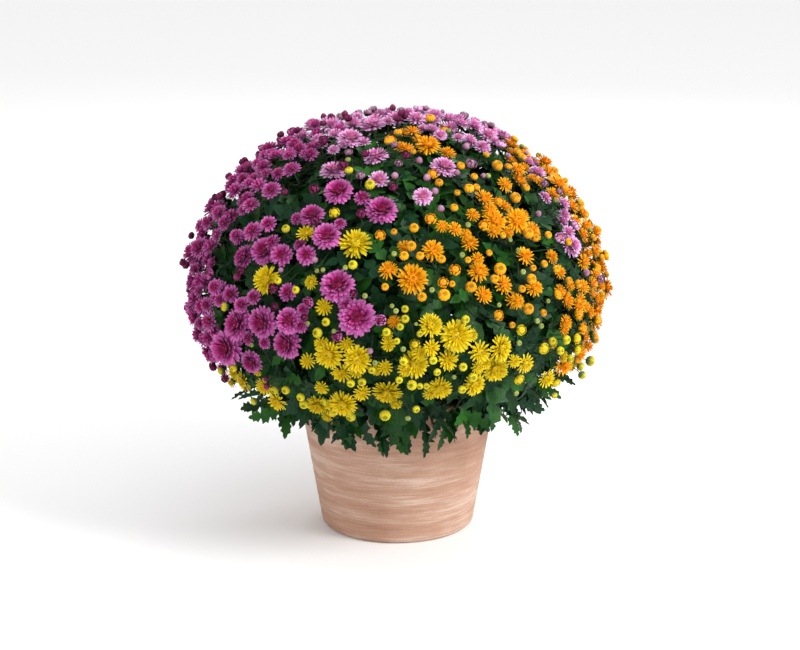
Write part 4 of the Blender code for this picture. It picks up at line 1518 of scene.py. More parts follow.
@dataclass(frozen=True)
class SoilFinish:
    """Dark, crumbly potting soil."""

    dark: Colour = (0.018, 0.011, 0.007)
    light: Colour = (0.060, 0.038, 0.024)
    crumb_scale: float = 260.0
    crumb_depth: float = 0.004
    roughness: float = 0.95
    specular: float = 0.15

    def make(self, name: str) -> Material:
        """The soil material.

        Args:
            name: The material's name.

        Returns:
            The material.
        """
        paint = Paint(name)
        crumb = paint.noise(paint.place(), self.crumb_scale, 5.0, 0.65)
        colour = paint.mix(paint.spread(crumb, 0.35, 0.75), self.dark, self.light)
        paint.bump(crumb, self.crumb_depth)
        return paint.finish(colour, self.roughness, self.specular)


PETALS = {
    Variety.MAGENTA: PetalFinish(
        (0.290, 0.008, 0.070), (0.430, 0.020, 0.180), (0.550, 0.065, 0.350), (0.690, 0.200, 0.540),
        tip_start=0.50,
    ),
    Variety.PINK: PetalFinish(
        (0.620, 0.140, 0.260), (0.660, 0.190, 0.440), (0.760, 0.300, 0.640), (0.880, 0.540, 0.820),
        tip_start=0.42,
    ),
    Variety.YELLOW: PetalFinish(
        (0.560, 0.360, 0.003), (0.710, 0.495, 0.004), (0.780, 0.590, 0.006), (0.830, 0.680, 0.050),
        tip_start=0.75, roughness=0.6, sheen=0.0, specular=0.12,
    ),
    Variety.ORANGE: PetalFinish(
        (0.800, 0.260, 0.002), (0.860, 0.330, 0.002), (0.890, 0.395, 0.003), (0.920, 0.490, 0.026),
        tip_start=0.72, roughness=0.6, sheen=0.0, specular=0.12,
    ),
}
EYES = {
    Variety.MAGENTA: EyeFinish((0.230, 0.008, 0.052), (0.120, 0.006, 0.026)),
    Variety.PINK: EyeFinish((0.520, 0.130, 0.220), (0.380, 0.090, 0.120)),
    Variety.YELLOW: EyeFinish((0.740, 0.550, 0.008), (0.440, 0.370, 0.012)),
    Variety.ORANGE: EyeFinish((0.900, 0.340, 0.003), (0.620, 0.180, 0.003)),
}
SCALE_GREEN: Colour = (0.120, 0.200, 0.075)
SCALE_PURPLE: Colour = (0.060, 0.036, 0.034)
BUDS = {
    Variety.MAGENTA: BudFinish(
        SCALE_PURPLE, (0.130, 0.012, 0.045), (0.250, 0.018, 0.095), (0.330, 0.045, 0.160)
    ),
    Variety.PINK: BudFinish(
        SCALE_PURPLE, (0.270, 0.120, 0.170), (0.480, 0.220, 0.350), (0.580, 0.320, 0.480)
    ),
    Variety.YELLOW: BudFinish(
        SCALE_GREEN, (0.560, 0.480, 0.015), (0.760, 0.610, 0.012), (0.270, 0.300, 0.015)
    ),
    Variety.ORANGE: BudFinish(
        SCALE_GREEN, (0.800, 0.340, 0.008), (0.930, 0.390, 0.004), (0.480, 0.220, 0.008)
    ),
}
YOUNG_BUD = BudFinish(
    (0.110, 0.190, 0.070), (0.250, 0.330, 0.090), (0.390, 0.440, 0.105), (0.300, 0.330, 0.060)
)


# Meshes

POINT_NUMBERS = ("along", "across", "row", "shade")


def empty_mesh() -> BMesh:
    """Start a mesh that has the point numbers that the materials read.

    Returns:
        The mesh, with nothing in it.
    """
    bm = bmesh.new()
    for name in POINT_NUMBERS:
        bm.verts.layers.float.new(name)
    return bm


def saved(bm: BMesh, name: str) -> Mesh:
    """Save a mesh as smooth-shaded data and free it.

    Args:
        bm: The mesh.
        name: The data's name.

    Returns:
        The mesh data.
    """
    for face in bm.faces:
        face.smooth = True
    mesh = bpy.data.meshes.new(name)
    bm.to_mesh(mesh)
    bm.free()
    return mesh


def mark(bm: BMesh, verts: Sequence[BMVert], **numbers: float) -> None:
    """Set point numbers on some points.

    Args:
        bm: The mesh.
        verts: The points.
        numbers: The number for each name.
    """
    for name, number in numbers.items():
        layer = bm.verts.layers.float[name]
        for vert in verts:
            vert[layer] = number


def loop_of(verts: Sequence[BMVert]) -> list[BMEdge]:
    """The edges of a ring of points."""
    own = set(verts)
    return list({edge for vert in verts for edge in vert.link_edges if edge.other_vert(vert) in own})


def sharpen_rim(bm: BMesh, start: float = -1.0) -> None:
    """Make the edges sharp that run along a blade's rim.

    Args:
        bm: The mesh.
        start: The place along the blade up to which every point is on the rim.
    """
    across = bm.verts.layers.float["across"]
    along = bm.verts.layers.float["along"]
    rim = {vert for vert in bm.verts if abs(vert[across]) > 0.5 or not start < vert[along] <= 0.99}
    for edge in bm.edges:
        edge.smooth = not rim.issuperset(edge.verts)


def turned(
    profile: Sequence[tuple[float, float]],
    segments: int,
    closed: bool = False,
    marked: bool = False,
    merge: float = 0.0001,
) -> BMesh:
    """A shape turned from a profile about the upright axis.

    Args:
        profile: The radius and height of each of its points.
        segments: How many steps the turn has.
        closed: Whether the last point joins the first.
        marked: Whether to mark the points with their place along the profile.
        merge: How near to one another points are merged.

    Returns:
        The mesh.
    """
    bm = empty_mesh()
    verts = [bm.verts.new((radius, 0.0, height)) for radius, height in profile]
    if marked:
        for index, vert in enumerate(verts):
            mark(bm, [vert], along=index / (len(verts) - 1))
    ends = verts[1:] + verts[:1] if closed else verts[1:]
    edges = [bm.edges.new(pair) for pair in zip(verts, ends)]
    bmesh.ops.spin(
        bm,
        geom=verts + edges,
        axis=UP,
        cent=Vector(),
        angle=2.0 * math.pi,
        steps=segments,
        use_merge=True,
    )
    bmesh.ops.remove_doubles(bm, verts=bm.verts, dist=merge)
    bmesh.ops.recalc_face_normals(bm, faces=bm.faces)
    return bm


def tube(points: Sequence[Vector], radii: Sequence[float], sides: int) -> Mesh:
    """A closed round tube along points.

    Args:
        points: The points of its middle line.
        radii: Its radius at each point.
        sides: How many sides it has.

    Returns:
        The mesh data.
    """
    bm = empty_mesh()
    loops = []
    turn: Optional[Quaternion] = None
    last_way = Vector()
    for index, (point, radius) in enumerate(zip(points, radii)):
        way = (points[min(len(points) - 1, index + 1)] - points[max(0, index - 1)]).normalized()
        turn = way.to_track_quat("Z", "Y") if turn is None else last_way.rotation_difference(way) @ turn
        last_way = way
        place = Matrix.Translation(point) @ turn.to_matrix().to_4x4()
        ring = bmesh.ops.create_circle(bm, segments=sides, radius=radius, matrix=place)["verts"]
        loops.append(loop_of(ring))
    for lower, upper in zip(loops, loops[1:]):
        bmesh.ops.bridge_loops(bm, edges=lower + upper)
    for end in (loops[0], loops[-1]):
        bmesh.ops.holes_fill(bm, edges=end, sides=0)
    bmesh.ops.recalc_face_normals(bm, faces=bm.faces)
    return saved(bm, "tube")


def smooth_line(points: Sequence[Vector], steps: int) -> list[Vector]:
    """A smooth curve through points.

    Args:
        points: The points it passes through.
        steps: How many pieces each span gets.

    Returns:
        The points of the curve.
    """
    line = []
    for index in range(len(points) - 1):
        a, b = points[index], points[index + 1]
        before = points[index - 1] if index else a * 2 - b
        after = points[index + 2] if index + 2 < len(points) else b * 2 - a
        for step in range(steps):
            t = step / steps
            line.append(
                0.5
                * (
                    a * 2.0
                    + (b - before) * t
                    + (before * 2.0 - a * 5.0 + b * 4.0 - after) * t * t
                    + (a * 3.0 - before - b * 3.0 + after) * t ** 3
                )
            )
    return line + [points[-1].copy()]


class Heap:
    """One piece of the plant, heaped up from many small shapes."""

    def __init__(self) -> None:
        """Start with nothing in it."""
        self.bm = empty_mesh()
        self.shade = self.bm.verts.layers.float["shade"]

    def add(self, mesh: Mesh, matrix: Optional[Matrix] = None, shade: float = 0.0, slot: int = -1) -> None:
        """Add a copy of a shape.

        Args:
            mesh: The shape.
            matrix: Where it goes.
            shade: Added to its points' own shade.
            slot: The number of its material, or -1 to keep its own.
        """
        verts_before, faces_before = len(self.bm.verts), len(self.bm.faces)
        self.bm.from_mesh(mesh)
        self.bm.verts.ensure_lookup_table()
        fresh = self.bm.verts[verts_before:]
        if matrix is not None:
            bmesh.ops.transform(self.bm, matrix=matrix, verts=fresh)
        if shade:
            for vert in fresh:
                vert[self.shade] += shade
        if slot >= 0:
            self.bm.faces.ensure_lookup_table()
            for face in self.bm.faces[faces_before:]:
                face.material_index = slot

    def add_tube(self, points: Sequence[Vector], radii: Sequence[float], sides: int) -> None:
        """Add a tube along points.

        Args:
            points: The points of its middle line.
            radii: Its radius at each point.
            sides: How many sides it has.
        """
        made = tube(points, radii, sides)
        self.add(made, slot=0)
        bpy.data.meshes.remove(made)

    def piece(self, name: str, materials: Sequence[Material], slot: str, *nodes: str) -> Object:
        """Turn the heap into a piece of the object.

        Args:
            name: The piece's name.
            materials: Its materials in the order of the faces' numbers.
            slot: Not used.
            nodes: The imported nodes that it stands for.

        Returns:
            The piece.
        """
        mesh = saved(self.bm, name)
        for material in materials:
            mesh.materials.append(material)
        made = shown(name, mesh)
        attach(made, BODY)
        if nodes:
            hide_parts(*nodes)
        return made


@dataclass(frozen=True)
class Petal:
    """One petal: a thin, cupped blade that starts at the origin, grows along +X and looks up."""

    length: float
    width: float
    rise: float
    curl: float
    tip: float
    cup: float = 0.28
    thickness: float = 0.030
    stations: tuple[float, ...] = (0.0, 0.34, 0.68, 0.90)
    sides: int = 4
    foot: float = 0.42
    swell: float = 0.58
    widest: float = 0.6
    tip_span: float = 0.30
    arc_steps: int = 40

    def station_width(self, share: float) -> float:
        """Half the petal's width.

        Args:
            share: The place along it, as a share of its length.

        Returns:
            The half width there.
        """
        if share < self.widest:
            return 0.5 * self.width * (self.foot + self.swell * math.sin(0.5 * math.pi * share / self.widest))
        fall = (share - self.widest) / self.tip_span
        return 0.5 * self.width * (1.0 + (self.tip - 1.0) * min(1.0, fall) ** 2)

    def centre_line(self) -> list[tuple[Vector, float]]:
        """The petal's middle line.

        Returns:
            The point and the slope at each station and at the tip.
        """
        steps = self.arc_steps
        point = Vector()
        line = [(point.copy(), math.radians(self.rise))]
        for step in range(steps):
            slope = math.radians(self.rise + self.curl * (step + 0.5) / steps)
            point = point + Vector((math.cos(slope), 0.0, math.sin(slope))) * (self.length / steps)
            line.append((point.copy(), slope))
        return [line[round(share * steps)] for share in (*self.stations, 1.0)]

    def mesh(self, row: float) -> Mesh:
        """The petal's mesh.

        Args:
            row: Its row in the flower, from 0 in the heart to 1 outside.

        Returns:
            The mesh data.
        """
        bm = empty_mesh()
        line = self.centre_line()
        loops = []
        for share, (point, slope) in zip(self.stations, line):
            half = self.station_width(share)
            thick = 0.5 * self.thickness * (1.0 - 0.5 * share)
            ring = bmesh.ops.create_circle(bm, segments=self.sides, radius=1.0)["verts"]
            for vert in ring:
                mark(bm, [vert], along=share, across=round(vert.co.x), row=row)
                sunk = self.cup * half if abs(vert.co.x) < 0.5 else 0.0
                vert.co = Vector((0.0, vert.co.x * half, vert.co.y * thick - sunk))
            bmesh.ops.rotate(bm, matrix=Matrix.Rotation(-slope, 3, "Y"), verts=ring)
            bmesh.ops.translate(bm, vec=point, verts=ring)
            loops.append(ring)
        edges = [loop_of(ring) for ring in loops]
        for lower, upper in zip(edges, edges[1:]):
            bmesh.ops.bridge_loops(bm, edges=lower + upper)
        end = line[-1][0]
        cap = bmesh.ops.extrude_edge_only(bm, edges=edges[-1])["geom"]
        last = [item for item in cap if isinstance(item, BMVert)]
        bmesh.ops.pointmerge(bm, verts=last, merge_co=end)
        bmesh.ops.holes_fill(bm, edges=edges[0], sides=4)
        bmesh.ops.recalc_face_normals(bm, faces=bm.faces)
        tip = [vert for vert in bm.verts if (vert.co - end).length < MERGED]
        mark(bm, tip, along=1.0, across=0.0, row=row)
        sharpen_rim(bm)
        return saved(bm, "petal")


@dataclass(frozen=True)
class PetalRow:
    """A ring of like petals in a flower of unit radius."""

    count: int
    length: float
    width: float
    rise: float
    curl: float


@dataclass(frozen=True)
class FlowerForm:
    """How one plant's flowers are made up: their rows of petals, from the outside in, and the eye."""

    rows: tuple[PetalRow, ...]
    tip: float
    cup: float
    eye: float
    base: float = 0.16
    eye_height: float = 0.16
    shut_rise: float = 50.0
    shut_curl: float = 45.0
    turn_swing: float = 6.0
    rise_swing: float = 6.0
    roll_swing: float = 14.0
    lengths: tuple[float, float] = (0.90, 1.05)
    widths: tuple[float, float] = (0.88, 1.12)
    heart_lift: float = 0.10
    seat: float = 0.06
    eye_pit: float = 0.30
    eye_flatness: float = 0.9
    heart_rows: float = 0.3
    rounded_rows: float = 0.45
    outer_rows: float = 0.75
    full: float = 0.9
    narrowing: float = 0.6

    def stations(self, share: float, fullness: float) -> tuple[float, ...]:
        """Where along a petal its width is set: often in the outer rows, seldom in the heart.

        Args:
            share: The row, from 0 in the heart to 1 outside.
            fullness: The share of its petals that the flower has.

        Returns:
            The places, as shares of the petal's length.
        """
        if share < self.heart_rows:
            return (0.0, 0.68)
        if share > self.outer_rows and fullness > self.full:
            return (0.22, 0.60, 0.88)
        return (0.30, 0.85)

    def mesh(self, openness: float, seed: int, fullness: float = 1.0) -> Mesh:
        """A flower of unit radius that looks up.

        Args:
            openness: 1 for an open flower, less for one whose petals still stand up.
            seed: The seed of its small irregularities.
            fullness: The share of its petals that it has, fewer in a small head.

        Returns:
            The mesh data.
        """
        rng = random.Random(seed)
        heap = Heap()
        shut = 1.0 - openness
        for index, ring in enumerate(self.rows):
            share = 1.0 - index / max(1, len(self.rows) - 1)
            count = max(4, round(ring.count * fullness))
            petal = Petal(
                ring.length,
                ring.width / fullness ** self.narrowing,
                ring.rise + shut * self.shut_rise,
                ring.curl + shut * self.shut_curl,
                self.tip,
                self.cup,
                stations=self.stations(share, fullness),
                sides=4 if fullness > self.full and share > self.rounded_rows else 3,
            )
            shape = petal.mesh(share)
            for number in range(count):
                turn = 360.0 * (number + 0.5 * (index % 2)) / count
                turn += rng.uniform(-self.turn_swing, self.turn_swing)
                grow = rng.uniform(*self.lengths)
                root = (self.base * share, 0.0, self.heart_lift * (1.0 - share) - self.seat)
                matrix = (
                    Matrix.Rotation(math.radians(turn), 4, "Z")
                    @ Matrix.Translation(root)
                    @ Matrix.Rotation(math.radians(rng.uniform(-self.rise_swing, self.rise_swing)), 4, "Y")
                    @ Matrix.Rotation(math.radians(rng.uniform(-self.roll_swing, self.roll_swing)), 4, "X")
                    @ Matrix.Diagonal((grow, rng.uniform(*self.widths), 1.0, 1.0))
                )
                heap.add(shape, matrix, rng.uniform(-1.0, 1.0))
            bpy.data.meshes.remove(shape)
        if self.eye > 0.0:
            heap.add(self.eye_mesh(), slot=FlowerPart.EYE)
        reach = max(math.hypot(vert.co.x, vert.co.y) for vert in heap.bm.verts)
        bmesh.ops.scale(heap.bm, vec=Vector((1.0, 1.0, 1.0)) / reach, verts=heap.bm.verts)
        return saved(heap.bm, "flower")

    def eye_mesh(self) -> Mesh:
        """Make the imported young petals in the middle: a low dome with a small pit.

        Returns:
            The mesh data.
        """
        bm = empty_mesh()
        bmesh.ops.create_uvsphere(bm, u_segments=8, v_segments=5, radius=self.eye)
        for vert in bm.verts:
            near = 1.0 - math.hypot(vert.co.x, vert.co.y) / self.eye
            mark(bm, [vert], along=near)
            pit = self.eye_pit * self.eye * near * near if vert.co.z > 0 else 0.0
            vert.co.z = vert.co.z * self.eye_flatness - pit + self.eye_height
        return saved(bm, "eye")


FLOWERS = {
    Variety.MAGENTA: FlowerForm(
        (
            PetalRow(22, 0.90, 0.23, -20.0, 6.0),
            PetalRow(21, 0.91, 0.23, -5.0, 8.0),
            PetalRow(19, 0.88, 0.23, 10.0, 12.0),
            PetalRow(16, 0.81, 0.22, 24.0, 18.0),
            PetalRow(12, 0.70, 0.20, 38.0, 26.0),
            PetalRow(9, 0.56, 0.18, 52.0, 36.0),
            PetalRow(6, 0.42, 0.15, 64.0, 50.0),
        ),
        tip=0.84, cup=0.30, eye=0.34, eye_height=0.08,
    ),
    Variety.PINK: FlowerForm(
        (
            PetalRow(21, 0.90, 0.22, -18.0, 6.0),
            PetalRow(20, 0.91, 0.22, -4.0, 8.0),
            PetalRow(18, 0.87, 0.21, 11.0, 12.0),
            PetalRow(15, 0.79, 0.20, 26.0, 18.0),
            PetalRow(11, 0.67, 0.18, 40.0, 24.0),
            PetalRow(8, 0.53, 0.16, 54.0, 32.0),
            PetalRow(6, 0.40, 0.14, 66.0, 44.0),
        ),
        tip=0.82, cup=0.30, eye=0.34, eye_height=0.08,
    ),
    Variety.YELLOW: FlowerForm(
        (
            PetalRow(21, 0.90, 0.155, -12.0, 4.0),
            PetalRow(20, 0.88, 0.155, 3.0, 6.0),
            PetalRow(18, 0.78, 0.150, 17.0, 10.0),
            PetalRow(15, 0.64, 0.140, 30.0, 18.0),
            PetalRow(12, 0.48, 0.130, 44.0, 28.0),
            PetalRow(8, 0.34, 0.120, 56.0, 42.0),
        ),
        tip=0.74, cup=0.36, eye=0.32, eye_height=0.04,
    ),
    Variety.ORANGE: FlowerForm(
        (
            PetalRow(21, 0.90, 0.150, -16.0, 6.0),
            PetalRow(20, 0.88, 0.150, 0.0, 8.0),
            PetalRow(18, 0.82, 0.150, 15.0, 12.0),
            PetalRow(15, 0.71, 0.140, 30.0, 18.0),
            PetalRow(12, 0.56, 0.130, 45.0, 28.0),
            PetalRow(8, 0.40, 0.120, 58.0, 42.0),
        ),
        tip=0.72, cup=0.36, eye=0.34, eye_height=0.06,
    ),
}
# Half-open heads: the petals still curve in over the middle
BUTTON_FORMS = {
    Variety.MAGENTA: FlowerForm(
        (
            PetalRow(9, 1.55, 0.70, -14.0, 150.0),
            PetalRow(8, 1.40, 0.60, 6.0, 140.0),
            PetalRow(6, 1.0, 0.4, 34.0, 110.0),
        ),
        tip=0.62, cup=0.16, eye=0.52, base=0.24, eye_height=0.52,
    ),
    Variety.PINK: FlowerForm(
        (
            PetalRow(9, 1.55, 0.68, -14.0, 148.0),
            PetalRow(8, 1.40, 0.58, 6.0, 138.0),
            PetalRow(6, 1.0, 0.4, 34.0, 108.0),
        ),
        tip=0.62, cup=0.16, eye=0.52, base=0.24, eye_height=0.52,
    ),
    Variety.YELLOW: FlowerForm(
        (PetalRow(13, 1.20, 0.44, -10.0, 150.0), PetalRow(12, 1.05, 0.40, 8.0, 140.0)),
        tip=0.66, cup=0.16, eye=0.64, base=0.32, eye_height=0.36,
    ),
    Variety.ORANGE: FlowerForm(
        (PetalRow(13, 1.25, 0.44, -10.0, 150.0), PetalRow(12, 1.10, 0.40, 8.0, 140.0)),
        tip=0.66, cup=0.16, eye=0.62, base=0.32, eye_height=0.40,
    ),
}


@dataclass(frozen=True)
class BudForm:
    """A closed bud of unit radius that looks up, turned from a profile with a dimple on top."""

    segments: int = 9
    profile: tuple[tuple[float, float], ...] = (
        (0.00, -0.86), (0.55, -0.72), (0.92, -0.30), (1.00, 0.14),
        (0.84, 0.56), (0.56, 0.78), (0.26, 0.72), (0.00, 0.58),
    )

    def mesh(self) -> Mesh:
        """Make the bud.

        Returns:
            The mesh data.
        """
        bm = turned(self.profile, self.segments, marked=True)
        for vert in bm.verts:
            mark(bm, [vert], across=math.atan2(vert.co.y, vert.co.x) / (2.0 * math.pi))
        return saved(bm, "bud")


# The double flowers' buds are pointed: their first petals still wrap round the middle
POINTED_BUD = BudForm(
    profile=(
        (0.00, -0.92), (0.52, -0.78), (0.88, -0.36), (0.94, 0.10),
        (0.78, 0.56), (0.42, 0.96), (0.00, 1.18),
    )
)


@dataclass(frozen=True)
class CalyxForm:
    """The green cup of scales under a flower of unit radius."""

    segments: int = 7
    profile: tuple[tuple[float, float], ...] = (
        (0.00, -0.34), (0.13, -0.34), (0.30, -0.26), (0.40, -0.14),
        (0.40, -0.05), (0.00, -0.03),
    )

    def mesh(self) -> Mesh:
        """The cup's mesh."""
        return saved(turned(self.profile, self.segments), "calyx")


# The outline of a smaller leaf, with fewer teeth: place along it, half its width there, lean to the tip
SMALL_LEAF = (
    (0.00, 0.014, 0.00), (0.20, 0.015, 0.00), (0.29, 0.140, 0.02), (0.37, 0.115, 0.04),
    (0.43, 0.058, 0.00), (0.50, 0.180, 0.00), (0.59, 0.215, 0.06), (0.67, 0.068, 0.00),
    (0.75, 0.145, 0.02), (0.85, 0.085, 0.04), (0.94, 0.045, 0.02),
)


@dataclass(frozen=True)
class LeafForm:
    """A lobed and toothed leaf of unit length that grows along +X and looks up."""

    fold: float = 0.30
    droop: float = 0.16
    wave: float = 0.022
    thickness: float = 0.010
    tip_reach: float = 1.02
    unevenness: float = 0.13
    lobe_width: float = 0.05
    merge: float = 0.0005
    outline: tuple[tuple[float, float, float], ...] = (
        (0.00, 0.014, 0.00), (0.15, 0.011, 0.00), (0.24, 0.024, 0.00), (0.30, 0.130, 0.01),
        (0.34, 0.170, 0.06), (0.39, 0.100, 0.02), (0.44, 0.058, 0.00), (0.50, 0.190, 0.00),
        (0.54, 0.165, 0.02), (0.58, 0.235, 0.07), (0.64, 0.110, 0.02), (0.68, 0.062, 0.00),
        (0.74, 0.150, 0.02), (0.79, 0.105, 0.02), (0.83, 0.125, 0.06), (0.89, 0.055, 0.02),
        (0.94, 0.050, 0.03),
    )

    def mesh(self, seed: int) -> Mesh:
        """The leaf's mesh: a thin lens with sharp edges and a fold along its midrib.

        Args:
            seed: The seed of its small irregularities.

        Returns:
            The mesh data.
        """
        rng = random.Random(seed)
        uneven = self.unevenness
        wobble = [[1.0 + rng.uniform(-uneven, uneven) for _ in self.outline] for _ in range(2)]
        lift = [[rng.uniform(-1.0, 1.0) for _ in self.outline] for _ in range(2)]
        bm = empty_mesh()
        rows = len(self.outline)
        bmesh.ops.create_grid(bm, x_segments=rows - 1, y_segments=2, size=1.0)
        for vert in bm.verts:
            station = min(rows - 1, round((vert.co.x + 1.0) * 0.5 * (rows - 1)))
            t, wide, forward = self.outline[station]
            side = round(vert.co.y)
            half = wide * (wobble[side > 0][station] if wide > self.lobe_width else 1.0)
            ripple = self.wave * lift[side > 0][station] if side and wide > self.lobe_width else 0.0
            x = t + (forward if side else 0.0)
            vert.co = Vector((x, side * half, self.fold * half * abs(side) + ripple))
            mark(bm, [vert], along=x, across=float(side))
        last = self.outline[-1][0] - self.merge
        tip_edges = [
            edge
            for edge in bm.edges
            if edge.is_boundary
            and all(vert.co.x > last for vert in edge.verts)
            and any(abs(vert.co.y) < MERGED for vert in edge.verts)
        ]
        grown = bmesh.ops.extrude_edge_only(bm, edges=tip_edges)["geom"]
        ends = [item for item in grown if isinstance(item, BMVert)]
        bmesh.ops.pointmerge(bm, verts=ends, merge_co=(self.tip_reach, 0.0, 0.0))
        tip = [vert for vert in bm.verts if vert.co.x > self.tip_reach - self.merge]
        mark(bm, tip, along=1.0, across=0.0)
        below = bmesh.ops.duplicate(bm, geom=bm.verts[:] + bm.edges[:] + bm.faces[:])
        under = [item for item in below["geom"] if isinstance(item, BMFace)]
        bmesh.ops.reverse_faces(bm, faces=under)
        lower = {vert for face in under for vert in face.verts}
        for vert in lower:
            if not vert.is_boundary:
                vert.co.z -= self.thickness
                mark(bm, [vert], row=1.0)
        bmesh.ops.remove_doubles(bm, verts=bm.verts, dist=self.merge)
        sharpen_rim(bm, self.merge)
        for vert in bm.verts:
            x = vert.co.x
            vert.co.z -= self.droop * x * x
        bmesh.ops.recalc_face_normals(bm, faces=bm.faces)
        return saved(bm, "leaf")


@dataclass
class Crowding:
    """Adds the smaller flowers that press in between those of the solids."""

    sprays: list[Spray]
    planting: Planting
    free_blooms: int = 235
    closest: float = 0.60
    seen_limit: float = 0.46
    closest_seen: float = 0.42
    draws: int = 30
    radii: tuple[float, float] = (0.0085, 0.0125)
    sinks: tuple[float, float] = (0.002, 0.010)
    joins: tuple[float, float] = (0.1, 0.4)
    seed: int = 23

    def room(self, place: Vector, radius: float) -> float:
        """The gap to the nearest head, as a share of the gap at which the two would just touch."""
        heads = [head for spray in self.sprays for head in spray.heads]
        return min((head.middle - place).length / (head.radius + radius) for head in heads)

    def plant(self, variety: Variety, ball: Vector, radius: float, rng: random.Random) -> None:
        """Add one flower to the spray of its nearest neighbour of the same plant.

        Args:
            variety: The plant.
            ball: Its direction on the unit ball.
            radius: Its radius.
            rng: The source of random draws.
        """
        near = nearest_head(self.sprays, variety, OUTLINE.from_ball(ball))
        lean = self.planting.lean(rng)
        sink = rng.uniform(*self.sinks)
        made = Head(variety, Stage.BLOOM, ball, radius, sink, lean, rng.random(), near.spray)
        made.stalk = [near.stalk[0].lerp(near.stalk[-1], rng.uniform(*self.joins)), made.foot]
        self.sprays[near.spray].heads.append(made)

    def grow(self) -> None:
        """Add the flowers that the photograph shows, and as dense a crowd on the hidden sides."""
        rng = random.Random(self.seed)
        for variety, rows in CROWDED_BLOOMS.items():
            for column, row, width in rows:
                ball = ball_seen(column, row)
                place = OUTLINE.from_ball(ball)
                radius = 0.5 * width * pixel_size(place)
                if self.room(place, radius) > self.closest_seen:
                    self.plant(variety, ball, radius, rng)
        for _ in range(self.free_blooms):
            radius = rng.uniform(*self.radii)
            balls = [self.planting.hidden_ball(rng, self.seen_limit) for _ in range(self.draws)]
            ball = max(balls, key=lambda ball: self.room(OUTLINE.from_ball(ball), radius))
            if self.room(OUTLINE.from_ball(ball), radius) > self.closest:
                self.plant(self.planting.home_variety(ball, rng), ball, radius, rng)


@dataclass
class Bud:
    """One small closed bud on its thin stalk."""

    variety: Variety
    middle: Vector
    facing: Vector
    radius: float
    young: bool
    root: Vector = field(default_factory=Vector)
    half_open: bool = False

    def place(self) -> Matrix:
        """The matrix that puts a bud of unit radius here, and draws a half-open head out a little.

        Returns:
            The placing matrix.
        """
        turn = self.facing.to_track_quat("Z", "Y").to_matrix().to_4x4()
        wide, tall = HALF_OPEN_SHAPE if self.half_open else (1.0, 1.0)
        shape = Matrix.Diagonal((self.radius * wide, self.radius * wide, self.radius * tall, 1.0))
        return Matrix.Translation(self.middle) @ turn @ shape


